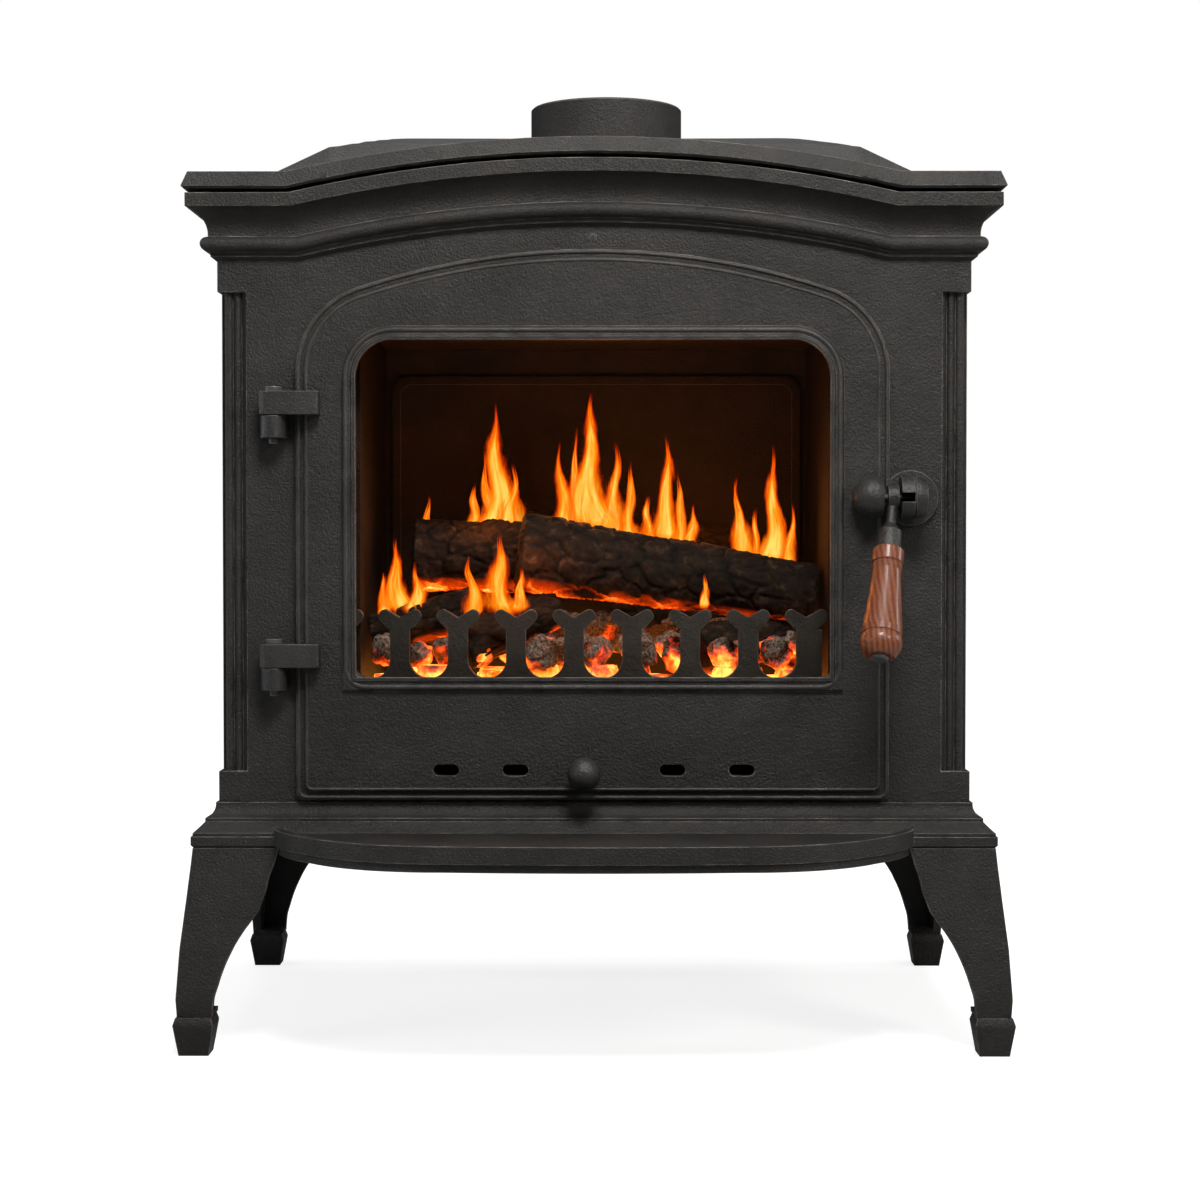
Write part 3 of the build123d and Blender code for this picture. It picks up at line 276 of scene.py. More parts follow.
# Pieces rubbed by hands and tools, and the log fence, whose paler finish is a painted highlight
rubbed_pieces_and_fence = (
    "log_fence", "latch_boss", "latch_keeper", "handle_lever", "air_knob",
    "hinge_strap_upper", "hinge_strap_lower", "hinge_knuckle_upper", "hinge_knuckle_lower",
)
for name, node in nodes.items():
    finish = paler_smoother_iron if name in rubbed_pieces_and_fence else finishes.get(slot_of[name], sooty)
    for slot in node.material_slots:
        slot.material = finish
print("finished", len(nodes), "nodes")


# %% [markdown]
# The crown on the lid starts a little further in than in the solid. It could be modelled from nothing, but
# its underside and the hole for the collar would have to be made again too. So a merged copy of the lid is cut
# into bands across its length, and its points are slid along the arch by one rule. Plate and crown move
# together, so the crown's foot stays on the plate. Nothing moves close to the collar.

# %% Mesh helpers
def link_object(name, data):
    piece = bpy.data.objects.new(name, data)
    bpy.context.scene.collection.objects.link(piece)
    return piece


def add_mesh(name, verts, faces):
    mesh = bpy.data.meshes.new(name)
    mesh.from_pydata(verts, [], faces)
    mesh.update()
    return link_object(name, mesh)


def keep(mesh, name):
    """Turn a bmesh into a mesh of its own and free it."""
    data = bpy.data.meshes.new(name)
    mesh.to_mesh(data)
    mesh.free()
    return data


def dress(piece, material, body):
    piece.data.materials.append(material)
    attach(piece, body)


# %% Lid with the narrower crown
# How far out the crown's corners lie in the solid, and where they are drawn in to, in millimetres
DRAWN_IN = ((0, 0), (207, 172), (268, 237), (322.7, 293.4), (350, 350), (400, 400))
# The crown's own outline in the solid: its height at each of those places
CROWN_HEIGHT = ((0, 817), (207, 817), (268, 797.5), (322.7, 764), (400, 764))
CROWN_HALF, CROWN_FRONT, CROWN_BACK = 322.0, -125.0, 244.0
COLLAR_X, COLLAR_Y, COLLAR_KEEP, COLLAR_FADE = 10.0, 137.0, 100.0, 60.0
TOUCHING = 0.4
ARCH_HALF, ARCH_RISE, SHOULDER = 265.0, 30.0, 764.0
ARCH_RADIUS = (ARCH_HALF ** 2 + ARCH_RISE ** 2) / (2 * ARCH_RISE)


def between(value, table):
    """A value read off a table of (from, to) pairs, straight between them."""
    for (a, p), (b, q) in zip(table, table[1:]):
        if value <= b:
            return p + (q - p) * max(value - a, 0.0) / (b - a)
    return table[-1][1]


def lid_top(x):
    """The height of the arched plate under the crown."""
    if abs(x) >= ARCH_HALF:
        return SHOULDER
    return SHOULDER + ARCH_RISE - ARCH_RADIUS + math.sqrt(ARCH_RADIUS ** 2 - x * x)


def merged_copy(node, name, cuts):
    """The node's mesh with its loose triangles joined, cut by planes given as (axis, level)."""
    mesh = bmesh.new()
    mesh.from_mesh(nodes[node].data)
    bmesh.ops.remove_doubles(mesh, verts=mesh.verts, dist=1e-5)
    for axis, level in cuts:
        everything = mesh.verts[:] + mesh.edges[:] + mesh.faces[:]
        bmesh.ops.bisect_plane(mesh, geom=everything, plane_co=Vector(axis) * level, plane_no=Vector(axis))
    bmesh.ops.recalc_face_normals(mesh, faces=mesh.faces)
    data = keep(mesh, name)
    data.shade_smooth()
    data.set_sharp_from_angle(angle=math.radians(22))
    return link_object(name, data)


# Bands 10 mm wide, and one more cut on each side where the arch's end is slid to
lid_cuts = [*range(-340, 341, 10), -295.2, 295.2]
lid = merged_copy("top_plate", "eased_lid", [((1, 0, 0), x * MM) for x in lid_cuts])
for v in lid.data.vertices:
    x, y, z = (c / MM for c in v.co)
    over_crown = CROWN_FRONT < y < CROWN_BACK and abs(x) < CROWN_HALF
    away = (math.hypot(x - COLLAR_X, y - COLLAR_Y) - COLLAR_KEEP) / COLLAR_FADE
    easing = min(max(away, 0.0), 1.0) if over_crown else 1.0
    x_new = x + (math.copysign(between(abs(x), DRAWN_IN), x) - x) * easing
    crest = between(abs(x), CROWN_HEIGHT)
    rise, full = z - lid_top(x), crest - lid_top(x)
    if rise > TOUCHING and full > TOUCHING:
        share = min(rise / full, 1.0)
        z = lid_top(x_new) + share * (crest - lid_top(x_new))
    else:
        z += lid_top(x_new) - lid_top(x)
    v.co.x, v.co.z = x_new * MM, z * MM
lid.data.update()
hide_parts("top_plate")
dress(lid, iron, "root")
print("lid vertices", len(lid.data.vertices))


# %% [markdown]
# Each leg keeps a little more metal in its knee than in the solid, and its outer edge stands further out,
# so the legs are eased in the same way as the lid, height by height. The block foot stays as it is.

# %% Legs with the fuller knee
# Inward from the leg's outer edge to its inner one by height, in the solid and as eased, in millimetres
LEG_WAS = ((30, 33), (60, 34), (88, 41.5), (124, 56), (152, 63.5), (179, 66))
LEG_NOW = ((30, 34), (60, 40), (88, 51), (115, 64), (142, 72), (165, 74), (179, 74))
LEG_OUT = ((30, 0), (50, 3.6), (92, 5), (134, 4), (165, 3.5), (179, 3.5))
# The leg's outer faces at its top, from the middle of the stove, and how they lean out towards the foot
SIDE_FACE, FRONT_FACE, BACK_FACE = 350.0, 169.0, 282.0
LEG_TOP, FOOT_TOP, LEAN_TOP, LEAN_FALL = 179, 30, 5, 19
BLOCK_FOOT = 33.2


def eased_leg(node, side, end):
    piece = merged_copy(node, "eased_" + node, [((0, 0, 1), z * MM) for z in range(34, LEG_TOP, 5)])
    depth = BACK_FACE if end > 0 else FRONT_FACE
    for v in piece.data.vertices:
        z = v.co.z / MM
        if z > BLOCK_FOOT:
            lean = LEAN_TOP - LEAN_FALL * (LEG_TOP - z) / (LEG_TOP - FOOT_TOP)
            ratio = between(z, LEG_NOW) / between(z, LEG_WAS)
            for index, sign, edge in ((0, side, SIDE_FACE), (1, end, depth)):
                outer = edge - lean
                inward = outer - sign * v.co[index] / MM
                v.co[index] = sign * (outer + between(z, LEG_OUT) - inward * ratio) * MM
    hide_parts(node)
    dress(piece, iron, "root")


for end_name, end in (("front", -1), ("back", 1)):
    for side_name, side in (("left", -1), ("right", 1)):
        eased_leg("leg_%s_%s" % (end_name, side_name), side, end)
print("four legs eased between", BLOCK_FOOT, "and", LEG_TOP, "mm")


# %% [markdown]
# The hinge straps are flat forged bars whose block end hides the eye. Each is a small outline carried straight
# through and eased at its edges. Its back corner is cut away, so that it clears the front panel when the
# door stands wide open.

# %% Strap faces
def solid(name, outline, low, high, place, bevel):
    """A prism on an outline: place turns (u, v, w) into a point, and its edges are bevelled."""
    mesh = bmesh.new()
    rings = [[mesh.verts.new(place(u, v, w)) for u, v in outline] for w in (low, high)]
    count = len(outline)
    mesh.faces.new(rings[0])
    mesh.faces.new(list(reversed(rings[1])))
    for i in range(count):
        k = (i + 1) % count
        mesh.faces.new((rings[0][i], rings[1][i], rings[1][k], rings[0][k]))
    bmesh.ops.recalc_face_normals(mesh, faces=mesh.faces)
    bmesh.ops.bevel(mesh, geom=mesh.edges[:], offset=bevel * MM, segments=2, affect="EDGES", profile=0.6)
    return link_object(name, keep(mesh, name))


def upright(x, y, z):
    return x * MM, y * MM, z * MM


STRAP_OUTLINE = (
    (-284, -161.5), (-290, -165.5), (-285.5, -171.7), (-239, -171.7), (-237.6, -170), (-237.6, -157),
)
STRAP_TALL, STRAP_LAP = 20.0, 0.2
for level, base in (("upper", 555.0), ("lower", 336.0)):
    low, high = base - STRAP_LAP, base + STRAP_TALL + STRAP_LAP
    strap = solid("strap_face_" + level, STRAP_OUTLINE, low, high, upright, 0.7)
    dress(strap, paler_smoother_iron, "door")

print("strap faces made")


# %% [markdown]
# The window and the door's edge are framed by cast beads. A bevelled curve could carry them, but a curve's
# section twists at tight corners. So each bead is a round ring of points set square to a closed outline,
# half sunk in the door, and its crest catches a line of light as a casting's does.

# %% Cast beads
def corner(cx, cz, radius, start, steps=12):
    """Points of a quarter turn, clockwise seen from the front, from a start angle in degrees."""
    angles = [math.radians(start - 90 * k / steps) for k in range(steps + 1)]
    return [(cx + radius * math.cos(a), cz + radius * math.sin(a)) for a in angles]


def window_path(grow):
    """The window's edge, moved out by grow."""
    left, right, low, high = -207 - grow, 205 + grow, 327 - grow, 620 + grow
    big, small = 32 + grow, 8 + grow
    path = corner(left + big, high - big, big, 180) + corner(right - big, high - big, big, 90)
    return path + corner(right - small, low + small, small, 0) + corner(left + small, low + small, small, -90)


def arc_through(a, b, c, steps):
    """Points from a to c on the circle through b."""
    (ax, az), (bx, bz), (cx, cz) = a, b, c
    d = 2 * (ax * (bz - cz) + bx * (cz - az) + cx * (az - bz))
    sa, sb, sc = ax * ax + az * az, bx * bx + bz * bz, cx * cx + cz * cz
    ux = (sa * (bz - cz) + sb * (cz - az) + sc * (az - bz)) / d
    uz = (sa * (cx - bx) + sb * (ax - cx) + sc * (bx - ax)) / d
    start = math.atan2(az - uz, ax - ux)
    sweep = (math.atan2(cz - uz, cx - ux) - start + math.pi) % (2 * math.pi) - math.pi
    radius = math.hypot(ax - ux, az - uz)
    angles = [start + sweep * k / steps for k in range(steps + 1)]
    return [(ux + radius * math.cos(a), uz + radius * math.sin(a)) for a in angles]


def door_path(inset):
    """The door's edge, moved in by inset: round shoulders, a shallow arch and small corners at the foot."""
    r, middle, shoulder = 78 - inset, -1.3, 592.0
    left, right, low, high = middle - 258.3 + inset, middle + 258.3 - inset, 219.6 + inset, 699 - inset
    knee, foot = (r * 0.235, shoulder + r * 0.645), (r * 0.72, shoulder + r * 0.96)
    path = arc_through((left, shoulder), (left + knee[0], knee[1]), (left + foot[0], foot[1]), 16)
    path += arc_through((left + foot[0], foot[1]), (middle, high), (right - foot[0], foot[1]), 40)[1:]
    path += arc_through((right - foot[0], foot[1]), (right - knee[0], knee[1]), (right, shoulder), 16)[1:]
    turn = max(7 - inset * 0.3, 2)
    return path + corner(right - turn, low + turn, turn, 0, 5) + corner(left + turn, low + turn, turn, -90, 5)


def bead(name, path, y, radius, sides=12):
    """A round bead along a closed outline in the door's plane."""
    verts, faces, count = [], [], len(path)
    for i, (x, z) in enumerate(path):
        (ax, az), (bx, bz) = path[i - 1], path[(i + 1) % count]
        along = Vector((bx - ax, 0, bz - az)).normalized()
        side = Vector((along.z, 0, -along.x))
        for k in range(sides):
            a = 2 * math.pi * k / sides
            off = side * radius * math.cos(a) + Vector((0, radius * math.sin(a), 0))
            verts.append((Vector((x, y, z)) + off) * MM)
    for i in range(count):
        n = (i + 1) % count
        for k in range(sides):
            m = (k + 1) % sides
            faces.append((i * sides + k, n * sides + k, n * sides + m, i * sides + m))
    piece = add_mesh(name, verts, faces)
    mesh = bmesh.new()
    mesh.from_mesh(piece.data)
    bmesh.ops.recalc_face_normals(mesh, faces=mesh.faces)
    mesh.to_mesh(piece.data)
    mesh.free()
    piece.data.shade_smooth()
    dress(piece, bead_iron, "door")


# Paler than the door's iron: worn paint and a painted highlight along the beads
bead_iron = cast_iron("worn_and_highlit_bead_iron", (0.016, 0.015, 0.014), (0.034, 0.032, 0.030), (0.3, 0.28, 0.26),
                      0.36, 0.35)
bead("window_bead_outer", window_path(8.5), -159.6, 2.6)
bead("window_bead_inner", window_path(2.2), -160.4, 1.9)
bead("door_bead_rim", door_path(2.2), -153.4, 2.0)
bead("door_bead_field", door_path(9.6), -157.0, 1.5)
print("beads made")


# %% [markdown]
# A small cast plug closes the core hole over the door. Its two steps are round outlines carried through
# towards the front.

# %% Plug
def facing_front(x, z, y):
    return x * MM, y * MM, z * MM


PLUG_X, PLUG_Z, PANEL_FACE = -1, 710, -147.5
turns = [2 * math.pi * k / 24 for k in range(24)]
for name, radius, out in (("plug_rim", 3.6, 0.5), ("plug_core", 2.2, 1.0)):
    ring = [(PLUG_X + radius * math.cos(a), PLUG_Z + radius * math.sin(a)) for a in turns]
    plug = solid(name, ring, PANEL_FACE + 0.1, PANEL_FACE - out, facing_front, 0.25)
    dress(plug, iron, "root")
print("plug made")


# %% [markdown]
# A burning log is a cylinder whose bark has split into blocks. The blocks come from a Voronoi pattern laid
# along the log: the gap between the nearest and second nearest cell is the crack. Each point also keeps how
# deep in a crack and how low on the log it is, which tells the material where the heat shows. A displacement
# in the material could draw the cracks too, but the exported mesh would lose them.

# %% Burning logs
def cell_gap(point):
    distances, _ = noise.voronoi(point, distance_metric="DISTANCE", exponent=2.5)
    return distances[1] - distances[0]


def store(piece, name, values):
    layer = piece.data.attributes.new(name, "FLOAT", "POINT")
    layer.data.foreach_set("value", values)


# The middle of each end of a log, and its radius at each
LOGS = {
    "log_low_left": ((-198, -44, 360), (-108, -72, 386), 20, 19),
    "log_low_middle": ((-120, -92, 348), (-38, -52, 386), 20, 20),
    "log_low_right": ((92, -72, 346), (188, -20, 362), 23, 21),
    "log_low_back": ((-150, 56, 372), (-40, 62, 376), 26, 25),
    "log_low_rear": ((20, 90, 380), (165, 62, 378), 27, 26),
    "log_back_left": ((-168, 4, 433), (-44, 6, 430), 33, 33),
    "log_rear": ((-84, 56, 459), (128, 76, 441), 21, 19),
    "log_front": ((-68, -58, 436), (199, -34, 396), 35, 29),
}
AROUND, ROW_STEP, CAP_ROWS = 96, 0.0016, 7
CRACK_WIDTH = 0.10


def burning_log(node, start, finish, r0, r1, seed):
    """Rings of points from end to end, with a few more rings that close in over each sawn end."""
    a, b = Vector(start) * MM, Vector(finish) * MM
    axis = b - a
    length = axis.length
    turn = axis.to_track_quat("Z", "Y").to_matrix()
    rows, caps = int(length / ROW_STEP), CAP_ROWS
    verts, deep, faces = [], [], []
    for i in range(-caps, rows + 1 + caps):
        t = min(max(i / rows, 0.0), 1.0)
        inset = 1.0 if 0 <= i <= rows else 1.0 - (abs(i) if i < 0 else i - rows) / (caps + 0.35)
        radius = (r0 + (r1 - r0) * t) * MM
        for k in range(AROUND):
            angle = 2 * math.pi * k / AROUND
            flat = Vector((math.cos(angle), math.sin(angle), 0))
            wobble = 0.35 * noise.noise(Vector((flat.x * 2, flat.y * 2, t * length * 40 + seed)))
            sample = Vector((flat.x * 1.5 + wobble, flat.y * 1.5, t * length * 26 + seed * 9 + wobble))
            gap = cell_gap(sample)
            crack = max(0.0, 1.0 - gap / CRACK_WIDTH)
            fine = noise.fractal(sample * 5, 0.6, 2.0, 4)
            swell = noise.noise(Vector((flat.x, flat.y, t * 4 + seed))) * 0.09
            bark = 1.0 + swell + 0.045 * fine - 0.10 * crack
            ring = 0.004 * noise.noise(Vector((inset * 9, angle, seed))) if inset < 1.0 else 0.0
            out = flat * radius * bark * inset
            crowned = 0.003 * (1 - inset)
            along = t * length + (ring - crowned if i < 0 else ring + crowned)
            verts.append(a + turn @ Vector((out.x, out.y, along)))
            deep.append(crack)
    total = rows + 1 + 2 * caps
    for i in range(total - 1):
        for k in range(AROUND):
            n = (k + 1) % AROUND
            faces.append((i * AROUND + k, i * AROUND + n, (i + 1) * AROUND + n, (i + 1) * AROUND + k))
    faces.append(tuple(reversed(range(AROUND))))
    faces.append(tuple((total - 1) * AROUND + k for k in range(AROUND)))
    piece = add_mesh("burning_" + node, verts, faces)
    centre = [a + axis * min(max((v - a).dot(axis) / length ** 2, 0), 1) for v in verts]
    low = [min(max((c.z - v.z) / (r0 * MM) * 0.5 + 0.5, 0), 1) for c, v in zip(centre, verts)]
    store(piece, "crack", deep)
    store(piece, "under", low)
    piece.data.shade_smooth()
    return piece


def charred_bark():
    material, tree, shader = new_material("charred_bark")
    crack = add(tree, "ShaderNodeAttribute", attribute_name="crack").outputs["Fac"]
    under = add(tree, "ShaderNodeAttribute", attribute_name="under").outputs["Fac"]
    ash = object_noise(tree, 90.0, 6.0, 0.7)
    fine = object_noise(tree, 420.0, 4.0, 0.7)
    patch = object_noise(tree, 26.0, 3.0)
    char_to_ash = (
        (0.35, (0.003, 0.002, 0.0015)), (0.55, (0.014, 0.008, 0.005)), (0.78, (0.07, 0.044, 0.030)),
    )
    tone = ramp(tree, ash.outputs["Fac"], char_to_ash)
    colour = blend_colour(tree, crack, tone.outputs["Color"], (0.003, 0.002, 0.002))
    tree.links.new(colour, shader.inputs["Base Color"])
    shader.inputs["Roughness"].default_value = 0.8
    shader.inputs["Specular IOR Level"].default_value = 0.15
    lowness = ramp(tree, under, ((0.80, (0, 0, 0)), (1.0, (1, 1, 1)))).outputs["Color"]
    patches = ramp(tree, patch.outputs["Fac"], ((0.46, (0, 0, 0)), (0.60, (1, 1, 1))))
    glow = maths(tree, "MULTIPLY", lowness, patches.outputs["Color"])
    seams = maths(tree, "MULTIPLY", maths(tree, "MULTIPLY", crack, 0.8), lowness)
    heat = maths(tree, "ADD", maths(tree, "MULTIPLY", glow, fine.outputs["Fac"]), seams, clamp=True)
    heats = ((0.0, (0, 0, 0)), (0.35, (0.55, 0.035, 0.0)), (0.7, (1.6, 0.25, 0.02)), (1.0, (2.4, 0.9, 0.15)))
    fire = ramp(tree, heat, heats)
    tree.links.new(fire.outputs["Color"], shader.inputs["Emission Color"])
    shader.inputs["Emission Strength"].default_value = 1.6
    grain_bump(tree, shader, ((ash.outputs["Fac"], 0.6, 0.002), (fine.outputs["Fac"], 0.5, 0.0008)))
    return material


bark = charred_bark()
for seed, (name, place) in enumerate(LOGS.items()):
    log = burning_log(name, *place, seed + 1)
    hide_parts(name)
    dress(log, bark, "root")
print("logs made")


# %% [markdown]
# The bed is a heap of coals. They could be dropped with a physics run, but that is slow and hard to repeat.
# Geometry Nodes scatter one lumpy coal over the solid bed instead, turn and size each copy at random from
# a fixed seed, and realise them as one mesh. The deeper a coal lies, the hotter it glows.

# %% Coals
BED_CREST = 0.358


def hot_coal():
    material, tree, shader = new_material("hot_coal")
    crust = object_noise(tree, 75.0, 5.0, 0.7)
    fine = object_noise(tree, 380.0, 3.0, 0.7)
    hot = object_noise(tree, 24.0, 3.0)
    tone = ramp(tree, fine.outputs["Fac"], ((0.38, (0.010, 0.008, 0.007)), (0.72, (0.26, 0.21, 0.18))))
    tree.links.new(tone.outputs["Color"], shader.inputs["Base Color"])
    shader.inputs["Roughness"].default_value = 0.9
    place = add(tree, "ShaderNodeTexCoord")
    axes = add(tree, "ShaderNodeSeparateXYZ")
    tree.links.new(place.outputs["Object"], axes.inputs["Vector"])
    depth = maths(tree, "MULTIPLY", maths(tree, "SUBTRACT", BED_CREST, axes.outputs["Z"]), 24.0)
    patch = maths(tree, "MULTIPLY", maths(tree, "SUBTRACT", hot.outputs["Fac"], 0.5), 2.6)
    grain = maths(tree, "MULTIPLY", maths(tree, "SUBTRACT", crust.outputs["Fac"], 0.5), 1.6)
    heat = maths(tree, "ADD", maths(tree, "ADD", depth, patch), grain, clamp=True)
    heats = (
        (0.25, (0, 0, 0)), (0.45, (0.55, 0.02, 0.0)), (0.68, (1.6, 0.22, 0.012)), (1.0, (2.4, 0.95, 0.16)),
    )
    fire = ramp(tree, heat, heats)
    tree.links.new(fire.outputs["Color"], shader.inputs["Emission Color"])
    shader.inputs["Emission Strength"].default_value = 1.3
    grain_bump(tree, shader, ((crust.outputs["Fac"], 0.9, 0.004), (fine.outputs["Fac"], 0.6, 0.0015)))
    return material


coal = hot_coal()


# %% One lump of coal
def one_coal():
    mesh = bmesh.new()
    bmesh.ops.create_icosphere(mesh, subdivisions=3, radius=1.0)
    for v in mesh.verts:
        cell = noise.voronoi(v.co * 1.1)[0][0]
        v.co *= 0.66 + 0.42 * cell + 0.22 * noise.noise(v.co * 1.9) + 0.05 * noise.noise(v.co * 7)
    return link_object("coal_lump", keep(mesh, "coal_lump"))


# %% The scatter of coals
def coal_tree(lump, material):
    tree = bpy.data.node_groups.new("coal_scatter", "GeometryNodeTree")
    tree.interface.new_socket("Geometry", in_out="INPUT", socket_type="NodeSocketGeometry")
    sizes = [tree.interface.new_socket(name, in_out="INPUT", socket_type="NodeSocketFloat")
             for name in ("Spacing", "Smallest", "Largest")]
    tree.interface.new_socket("Geometry", in_out="OUTPUT", socket_type="NodeSocketGeometry")
    enter, leave = tree.nodes.new("NodeGroupInput"), tree.nodes.new("NodeGroupOutput")
    points = add(tree, "GeometryNodeDistributePointsOnFaces", {"Seed": 11, "Density Max": 9000.0},
                 distribute_method="POISSON")
    copies = tree.nodes.new("GeometryNodeInstanceOnPoints")
    source = add(tree, "GeometryNodeObjectInfo", {"Object": lump})
    any_turn = {"Max": (6.28, 6.28, 6.28), "Seed": 3}
    spin = add(tree, "FunctionNodeRandomValue", any_turn, data_type="FLOAT_VECTOR")
    size = add(tree, "FunctionNodeRandomValue", {"Seed": 5}, data_type="FLOAT")
    floats = [s for s in size.inputs if s.type == "VALUE" and s.enabled]
    real = tree.nodes.new("GeometryNodeRealizeInstances")
    paint = add(tree, "GeometryNodeSetMaterial", {"Material": material})
    link = tree.links.new
    link(enter.outputs["Geometry"], points.inputs["Mesh"])
    link(enter.outputs["Spacing"], points.inputs["Distance Min"])
    link(enter.outputs["Smallest"], floats[0])
    link(enter.outputs["Largest"], floats[1])
    link(points.outputs["Points"], copies.inputs["Points"])
    link(source.outputs["Geometry"], copies.inputs["Instance"])
    link(spin.outputs["Value"], copies.inputs["Rotation"])
    link([o for o in size.outputs if o.type == "VALUE" and o.enabled][0], copies.inputs["Scale"])
    link(copies.outputs["Instances"], real.inputs["Geometry"])
    link(real.outputs["Geometry"], paint.inputs["Geometry"])
    link(paint.outputs["Geometry"], leave.inputs["Geometry"])
    return tree, [socket.identifier for socket in sizes]


def realised(name, tree, host, settings):
    """Run a node tree over a host mesh and keep the result as a plain mesh at the origin."""
    modifier = host.modifiers.new("build", "NODES")
    modifier.node_group = tree
    for key, value in settings.items():
        modifier[key] = value
    bpy.context.view_layer.update()
    evaluated = host.evaluated_get(bpy.context.evaluated_depsgraph_get())
    data = bpy.data.meshes.new_from_object(evaluated)
    host.modifiers.remove(modifier)
    return link_object(name, data)


bed_low, bed_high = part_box("ember_bed")
BED_INSET, BED_LIFT, BED_RISE = 0.016, 0.047, 0.022
x0, x1 = bed_low[0] + BED_INSET, bed_high[0] - BED_INSET
y0, y1 = bed_low[1] + BED_INSET, bed_high[1] - BED_INSET
front_z = bed_low[2] + BED_LIFT
back_z = front_z + BED_RISE
bed_corners = [(x0, y0, front_z), (x1, y0, front_z), (x1, y1, back_z), (x0, y1, back_z)]
host = add_mesh("coal_host", bed_corners, [(0, 1, 2, 3)])
lump = one_coal()
scatter, keys = coal_tree(lump, coal)
heap = realised("coal_heap", scatter, host, dict(zip(keys, (0.025, 0.012, 0.019))))
heap.data.shade_smooth()
heap.data.set_sharp_from_angle(angle=math.radians(24))
bpy.data.objects.remove(host)
bpy.data.objects.remove(lump)
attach(heap, "root")
# The solid bed below glows with the same finish
for slot in nodes["ember_bed"].material_slots:
    slot.material = coal
print("coal faces", len(heap.data.polygons))


# %% [markdown]
# A flame is drawn as a few curved sheets, each with its own sway. Two numbers are kept on every point: how
# far across the tongue it lies and how high. The material fades the sheet out from them and colours it from
# pale yellow inside to orange and red outside. A volume would look softer, but it is slow to render and the
# export drops it. Emission mixed with a transparent shader adds light without a grey skin.

# %% Flames
def flame_material():
    material, tree, shader = new_material("flame")
    output = tree.nodes["Material Output"]
    tree.nodes.remove(shader)
    across = add(tree, "ShaderNodeAttribute", attribute_name="across").outputs["Fac"]
    up = add(tree, "ShaderNodeAttribute", attribute_name="up").outputs["Fac"]
    wisps = object_noise(tree, 95.0, 4.0, 0.6, (1.0, 1.0, 0.22))
    ragged = maths(tree, "MULTIPLY", maths(tree, "SUBTRACT", wisps.outputs["Fac"], 0.52), 1.5)
    body = maths(tree, "SUBTRACT", 1.0, across)
    body = maths(tree, "ADD", body, ragged)
    fade = ramp(tree, up, ((0.0, (0.0,) * 3), (0.16, (0.9,) * 3), (0.7, (0.9,) * 3), (1.0, (0.25,) * 3)))
    strength = maths(tree, "MULTIPLY", body, fade.outputs["Color"], clamp=True)
    alpha = ramp(tree, strength, ((0.10, (0, 0, 0)), (0.42, (0.6,) * 3), (0.85, (0.85,) * 3)))
    heat = maths(tree, "SUBTRACT", strength, maths(tree, "MULTIPLY", up, 0.30), clamp=True)
    red_to_yellow = (
        (0.05, (0.6, 0.03, 0.0)), (0.24, (1.0, 0.11, 0.001)),
        (0.50, (1.0, 0.30, 0.006)), (0.9, (1.0, 0.68, 0.13)),
    )
    colour = ramp(tree, heat, red_to_yellow)
    emit = add(tree, "ShaderNodeEmission", {"Strength": 1.35})
    clear = add(tree, "ShaderNodeBsdfTransparent")
    mix = add(tree, "ShaderNodeMixShader")
    link = tree.links.new
    link(colour.outputs["Color"], emit.inputs["Color"])
    link(alpha.outputs["Color"], mix.inputs["Fac"])
    link(clear.outputs[0], mix.inputs[1])
    link(emit.outputs[0], mix.inputs[2])
    link(mix.outputs[0], output.inputs["Surface"])
    return material


# Place across, tip height, half width, base height, depth and sway of each tongue
FLAMES = (
    (-95, 578, 33, 446, 22, 9), (-78, 520, 17, 450, 26, -6), (-113, 500, 15, 448, 18, 5),
    (-104, 534, 14, 450, 30, -7), (-4, 586, 38, 444, 24, -9), (-34, 540, 20, 446, 18, 7),
    (19, 541, 22, 442, 30, -6), (34, 522, 15, 440, 20, 5), (-18, 556, 16, 446, 30, 6),
    (66, 547, 25, 436, 26, 8), (92, 482, 16, 432, 20, -5), (50, 490, 14, 440, 30, 4),
    (78, 512, 13, 436, 18, -6), (134, 508, 17, 424, 24, -6), (167, 538, 24, 414, 22, 7),
    (185, 482, 13, 410, 14, -4), (152, 478, 12, 416, 30, 4), (-158, 490, 12, 436, 40, 5),
    (-181, 449, 24, 376, -62, -6), (-163, 428, 16, 378, -70, 5), (-193, 418, 12, 374, -56, 3),
    (-84, 454, 27, 376, -96, 8), (-112, 434, 17, 374, -100, -5), (-66, 424, 13, 380, -92, 4),
    (98, 417, 8, 384, -98, 3),
)


